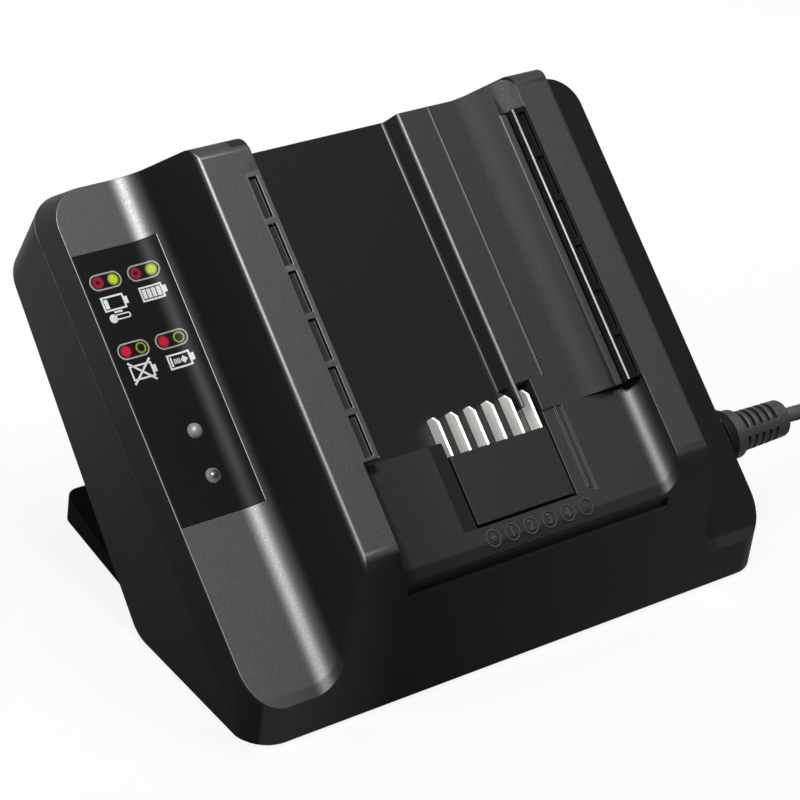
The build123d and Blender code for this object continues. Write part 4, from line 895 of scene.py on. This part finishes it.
class CHARGER_OT_panel(bpy.types.Operator):
    """Finish the gloss panel on the left ledge"""

    bl_idname = "charger.panel"
    bl_label = "Indicator panel"

    def execute(self, context):
        sizes, colours = settings_of(context)
        softened("indicator_panel", "panel_sheet", gloss_sheet("panel gloss", colours.panel),
                 sizes.fine_edge)
        turn = radians(PANEL_WRAP)
        rim("panel_rim", PANEL_EDGE_U + PANEL_FLAT + PANEL_BEND * sin(turn),
            PANEL_BEND * (1 - cos(turn)), PANEL_RUN)
        return {"FINISHED"}


LEFT_COLUMN, RIGHT_COLUMN = 7.9, 21.9
UPPER_ROW, LOWER_ROW = 144.5, 121.0
SYMBOL_DROP = 7.4            # of each battery sign, below its row of dots
PILL = (2.75, 0.48, 3.0)     # radius of its ends, stroke, half its straight run
DOT_OFFSET, DOT_RADIUS, DOT_CORE = 2.8, 1.95, 1.4
BATTERY = (8.2, 5.0, 0.6)    # width, height, stroke


def battery(work, s, v, bars=0):
    """Outline of a battery with its terminal on the right, and bars from the left."""
    frame_of(work, s, v, *BATTERY)
    bar(work, s + 4.65, v, 1.1, 2.4)
    for i in range(bars):
        bar(work, s - 2.58 + i * 1.72, v, 1.36, 3.1)


class CHARGER_OT_legend(bpy.types.Operator):
    """Print the legend on the panel: four pairs of lamp states with their battery symbols"""

    bl_idname = "charger.legend"
    bl_label = "Legend"

    def execute(self, context):
        sizes, colours = settings_of(context)
        inks = {"white": colours.white, "grey": colours.grey, "red": colours.red,
                "dark_red": colours.dull_red, "green": colours.green, "dark_green": colours.dull_green}
        art = {name: bmesh.new() for name in inks}
        edge = DOT_RADIUS - DOT_CORE
        for s in (LEFT_COLUMN, RIGHT_COLUMN):
            for v in (UPPER_ROW, LOWER_ROW):
                ring(art["grey"], s, v, *PILL)
            left, right = s - DOT_OFFSET, s + DOT_OFFSET
            ring(art["dark_red"], left, UPPER_ROW, DOT_RADIUS, 1.3)
            disc(art["green"], right, UPPER_ROW, DOT_CORE)
            ring(art["dark_green"], right, UPPER_ROW, DOT_RADIUS, edge)
            disc(art["red"], left, LOWER_ROW, DOT_CORE)
            ring(art["dark_red"], left, LOWER_ROW, DOT_RADIUS, edge)
            ring(art["dark_green"], right, LOWER_ROW, DOT_RADIUS - 0.1, 0.55)
        white = art["white"]
        battery(white, LEFT_COLUMN - 0.2, UPPER_ROW - SYMBOL_DROP, bars=1)
        disc(white, LEFT_COLUMN - 2.3, UPPER_ROW - 12.4, 1.45)
        ring(white, LEFT_COLUMN + 1.2, UPPER_ROW - 12.2, 0.95, 0.4, 1.9)
        bar(white, LEFT_COLUMN + 0.2, UPPER_ROW - 10.5, 3.0, 0.6)
        battery(white, RIGHT_COLUMN, UPPER_ROW - 7.3, bars=4)
        battery(white, LEFT_COLUMN + 0.1, LOWER_ROW - SYMBOL_DROP)
        for turn in (-41.5, 41.5):
            bar(white, LEFT_COLUMN + 0.1, LOWER_ROW - SYMBOL_DROP, 10.9, 0.7, turn)
        row = LOWER_ROW - 7.2
        battery(white, RIGHT_COLUMN, row)
        bar(white, RIGHT_COLUMN - 2.85, row, 0.7, 3.1)
        for i in range(4):
            bar(white, RIGHT_COLUMN - 1.75 + i * 0.62, row, 0.36, 1.7)
        bar(white, RIGHT_COLUMN + 1.65, row, 1.8, 1.8, 45.0)
        for name, rgb in inks.items():
            to_piece(on_panel(art[name], sizes.legend_lift), "legend_" + name,
                     ink(name.replace("_", " ") + " ink", rgb), even=False)
        return {"FINISHED"}


LAMP_U = -89.9
UPPER_LAMP, LOWER_LAMP = 91.0, 75.7
LAMP_RADIUS = 2.6
FLANGE_RADIUS = 2.95
LAMP_TOP = 1.9
LAMP_BASE = -6.7


def lamp_place(v):
    return LEDGE @ Matrix.Translation((LAMP_U * MM, v * MM, 0))


def lamp_body(v, name, node, finish):
    centre = LAMP_TOP - LAMP_RADIUS
    profile = [(0, LAMP_BASE), (FLANGE_RADIUS, LAMP_BASE), (FLANGE_RADIUS, LAMP_BASE + 1),
               (LAMP_RADIUS, LAMP_BASE + 1)]
    for i in range(13):
        turn = radians(7.5 * i)
        profile.append((LAMP_RADIUS * cos(turn), centre + LAMP_RADIUS * sin(turn)))
    profile[-1] = (0, LAMP_TOP)
    return to_piece(turned(profile, place=lamp_place(v)), name, finish,
                    stands_for=(node,), sharp=40.0, even=False)


def lamp_frame(v, name, finish):
    """Lead frame inside a lamp: the cup of the chip, its post, the other post and both legs."""
    work = turned([(0, -2.9), (0.75, -2.9), (1.15, -1.9), (0.95, -1.9), (0.5, -2.6), (0, -2.6)], 24)
    for side, high in ((-1, -2.9), (1, -2.4)):
        post = ((0.5, 0.9, high - LAMP_BASE), (0, side * 0.95, (high + LAMP_BASE) / 2))
        leg = ((0.5, 0.5, 4.3), (0, side * 1.27, LAMP_BASE - 2.15))
        for size, centre in (post, leg):
            made = bmesh.ops.create_cube(work, size=1.0)["verts"]
            bmesh.ops.scale(work, verts=made, vec=Vector(size) * MM)
            bmesh.ops.translate(work, verts=made, vec=Vector(centre) * MM)
    bmesh.ops.transform(work, matrix=lamp_place(v), verts=work.verts)
    return to_piece(work, name, finish, sharp=40.0, even=False)


class CHARGER_OT_lamps(bpy.types.Operator):
    """Build the two domed lamps with their lead frames"""

    bl_idname = "charger.lamps"
    bl_label = "Lamps"

    def execute(self, context):
        frame_metal = metal("lead frame", (0.60, 0.60, 0.60), 0.3)
        # Rim and core tints are painted: the clear lamp's paler rim and dark core stand for the
        # surroundings seen through its edge and the shade inside it; the clouded lamp's darker rim is
        # painted shade.
        outside = (0.27, 0.26, 0.27)
        clouded = clear_resin("clouded resin", outside, 0.45, 0.05, (0.34, 0.33, 0.34),
                              lamp_place(UPPER_LAMP).translation)
        clear = clear_resin("clear resin", outside, 0.30, 0.05, (0.055, 0.050, 0.055),
                            lamp_place(LOWER_LAMP).translation)
        lamp_body(UPPER_LAMP, "lamp_upper", "indicator_led_red", clouded)
        lamp_body(LOWER_LAMP, "lamp_lower", "indicator_led_green", clear)
        lamp_frame(UPPER_LAMP, "lamp_upper_leads", frame_metal)
        lamp_frame(LOWER_LAMP, "lamp_lower_leads", frame_metal)
        return {"FINISHED"}


# ---------------------------------------------------------------- terminals
MARKS = ("+", "1", "2", "3", "4", "−")
MARK_ROW = 25.9
MARK_LEVEL = 24.5
MARK_FIRST, MARK_LAST = -18.5, 20.0
MARK_SIZE = 4.6
MARK_RING = (2.9, 0.4)      # outer radius, stroke
MARK_SUNK = 0.1             # foot of the rings, in the plate


def figure(text, place, lift):
    """Raised character as an edited mesh."""
    curve = bpy.data.curves.new("figure", "FONT")
    curve.body = text
    curve.size = MARK_SIZE * MM
    curve.align_x, curve.align_y = "CENTER", "CENTER"
    curve.extrude = lift / 2
    curve.offset = 0.1 * MM
    holder = bpy.data.objects.new("figure", curve)
    bpy.context.scene.collection.objects.link(holder)
    bpy.context.view_layer.update()
    mesh = bpy.data.meshes.new_from_object(holder)
    work = bmesh.new()
    work.from_mesh(mesh)
    bpy.data.objects.remove(holder)
    bpy.data.curves.remove(curve)
    bpy.data.meshes.remove(mesh)
    bmesh.ops.remove_doubles(work, verts=work.verts, dist=0.000001)
    bmesh.ops.transform(work, matrix=place, verts=work.verts)
    return work


class CHARGER_OT_terminals(bpy.types.Operator):
    """Finish the terminal block, its plated blades and the raised marks in front of them"""

    bl_idname = "charger.terminals"
    bl_label = "Terminals"

    def execute(self, context):
        sizes, colours = settings_of(context)
        block = moulded("terminal plastic", colours.terminal, rough=0.45, grain=2000.0, depth=0.00002,
                        specular=0.06)
        softened("terminal_block", "terminal_carrier", block, sizes.fine_edge)
        plated = metal("tin plate", colours.nickel, 0.42, (1.0, 12.0, 12.0), metallic=0.45)
        softened("contact_blades", "plated_blades", plated, sizes.fine_edge)

        marks = bmesh.new()
        pitch = (MARK_LAST - MARK_FIRST) / (len(MARKS) - 1)
        for i, text in enumerate(MARKS):
            centre = Vector((MARK_FIRST + i * pitch, MARK_ROW, MARK_LEVEL))
            at = LEDGE @ Matrix.Translation(centre * MM)
            absorb(marks, figure(text, at, sizes.mark_lift * 2))
            circle = bmesh.new()
            ring(circle, 0, 0, *MARK_RING)
            grow(circle, (0, 0, sizes.mark_lift / MM + MARK_SUNK))
            bmesh.ops.translate(circle, verts=circle.verts, vec=(0, 0, -MARK_SUNK))
            lay(circle, at)
            absorb(marks, circle)
        plain = moulded("mark plastic", colours.housing, rough=0.45, specular=0.15)
        to_piece(marks, "terminal_marks", plain, even=False)
        return {"FINISHED"}


# ---------------------------------------------------------------- gland, stand, feet, plate
class CHARGER_OT_gland(bpy.types.Operator):
    """Finish the ribbed strain relief where the cord leaves"""

    bl_idname = "charger.gland"
    bl_label = "Strain relief"

    def execute(self, context):
        sizes, colours = settings_of(context)
        soft = rubber("relief rubber", [part * 1.2 for part in colours.rubber], 0.5)
        softened("strain_relief", "ribbed_relief", soft, sizes.fine_edge)
        return {"FINISHED"}


class CHARGER_OT_stand(bpy.types.Operator):
    """Finish the rear stand, its hinge pins and its pads"""

    bl_idname = "charger.stand"
    bl_label = "Rear stand"

    def execute(self, context):
        sizes, colours = settings_of(context)
        # Darker and duller than the housing plastic: painted shade for the shadow the stand sits in.
        plastic = moulded("stand plastic", colours.stand, rough=0.55, specular=0.01, wear=0.05,
                          dust=0.002)
        softened("rear_stand", "fold_out_stand", plastic, sizes.edge, body="stand")
        foot = rubber("foot rubber", (0.010, 0.010, 0.010), 0.7)
        softened("stand_pads", "stand_foot_pads", foot, sizes.fine_edge, body="stand")
        softened("stand_pins", "hinge_pins", pin_steel(), sizes.fine_edge)
        softened("rubber_feet", "base_feet", foot, sizes.fine_edge)
        bare = metal("bare plate", (0.55, 0.55, 0.56), 0.34, (1.0, 14.0, 14.0), 700.0)
        softened("rating_plate", "bare_back_plate", bare, 0.00004)
        return {"FINISHED"}


def inner_finishes():
    """Finishes of the inner parts, by the CAD nodes that wear them."""
    return {
        ("main_board", "indicator_board"): laminate("board laminate"),
        ("board_screws", "housing_screws", "cord_clamp_screws"):
            metal("zinc plate", (0.60, 0.60, 0.58), 0.3, (3.0, 3.0, 3.0), 1200.0),
        ("cord_clamp", "switching_transistor", "rectifier_diode"):
            moulded("component black", (0.016, 0.016, 0.017), rough=0.45, grain=1800.0),
        ("input_capacitor", "output_capacitors"):
            moulded("capacitor sleeve", (0.010, 0.016, 0.055), rough=0.3, grain=900.0, wear=0.1),
        ("primary_heat_sink", "secondary_heat_sink"):
            metal("extruded aluminium", (0.56, 0.57, 0.58), 0.36, (1.0, 1.0, 10.0), 600.0),
        ("terminal_leads",): metal("red lead", (0.45, 0.03, 0.02), 0.5),
        ("transformer_core",): moulded("ferrite", (0.028, 0.028, 0.030), rough=0.62, grain=2400.0),
        ("transformer_winding",): wound("yellow winding tape", (0.62, 0.42, 0.03), 260.0),
        ("suppression_capacitor",):
            moulded("capacitor yellow", (0.55, 0.36, 0.03), rough=0.4, grain=1400.0),
        ("line_choke",): wound("copper winding", (0.48, 0.16, 0.045), 700.0),
        ("mains_fuse",): clear_resin("fuse glass", (0.9, 0.93, 0.92), 0.06, 0.9),
        ("charge_relay",): moulded("relay case", (0.02, 0.05, 0.16), rough=0.35, grain=1500.0),
        ("indicator_ribbon",): wound("ribbon cable", (0.32, 0.32, 0.33), 500.0),
        ("mains_inner_lead",): rubber("inner lead rubber", (0.016, 0.016, 0.016)),
    }


class CHARGER_OT_inside(bpy.types.Operator):
    """Finish the boards and components inside the housing"""

    bl_idname = "charger.inside"
    bl_label = "Inner parts"

    def execute(self, context):
        for nodes, finish in inner_finishes().items():
            for node in nodes:
                slots = NODES[node].data.materials
                slots.clear()
                slots.append(finish)
        return {"FINISHED"}


class CHARGER_PT_sidebar(bpy.types.Panel):
    """Steps and settings of the charger"""

    bl_idname = "CHARGER_PT_sidebar"
    bl_label = "Battery charger"
    bl_space_type = "VIEW_3D"
    bl_region_type = "UI"
    bl_category = "Charger"

    def draw(self, context):
        layout = self.layout
        for step in STEPS:
            layout.operator(step.bl_idname)
        for settings in (context.scene.charger_sizes, context.scene.charger_colours,
                         context.scene.charger_stage):
            box = layout.box()
            for key in settings.bl_rna.properties.keys():
                if key not in ("rna_type", "name"):
                    box.prop(settings, key)


STEPS = (
    CHARGER_OT_stage, CHARGER_OT_plug, CHARGER_OT_cord, CHARGER_OT_housing, CHARGER_OT_panel,
    CHARGER_OT_legend, CHARGER_OT_lamps, CHARGER_OT_terminals, CHARGER_OT_gland, CHARGER_OT_stand,
    CHARGER_OT_inside,
)
GROUPS = (ChargerSizes, ChargerColours, ChargerStage)
CLASSES = GROUPS + STEPS + (CHARGER_PT_sidebar,)


def register():
    for kind in CLASSES:
        bpy.utils.register_class(kind)
    bpy.types.Scene.charger_sizes = PointerProperty(type=ChargerSizes)
    bpy.types.Scene.charger_colours = PointerProperty(type=ChargerColours)
    bpy.types.Scene.charger_stage = PointerProperty(type=ChargerStage)


def unregister():
    del bpy.types.Scene.charger_stage
    del bpy.types.Scene.charger_colours
    del bpy.types.Scene.charger_sizes
    for kind in reversed(CLASSES):
        bpy.utils.unregister_class(kind)


def main():
    register()
    for step in STEPS:
        area, action = step.bl_idname.split(".")
        getattr(getattr(bpy.ops, area), action)()


if __name__ == "__main__":
    main()
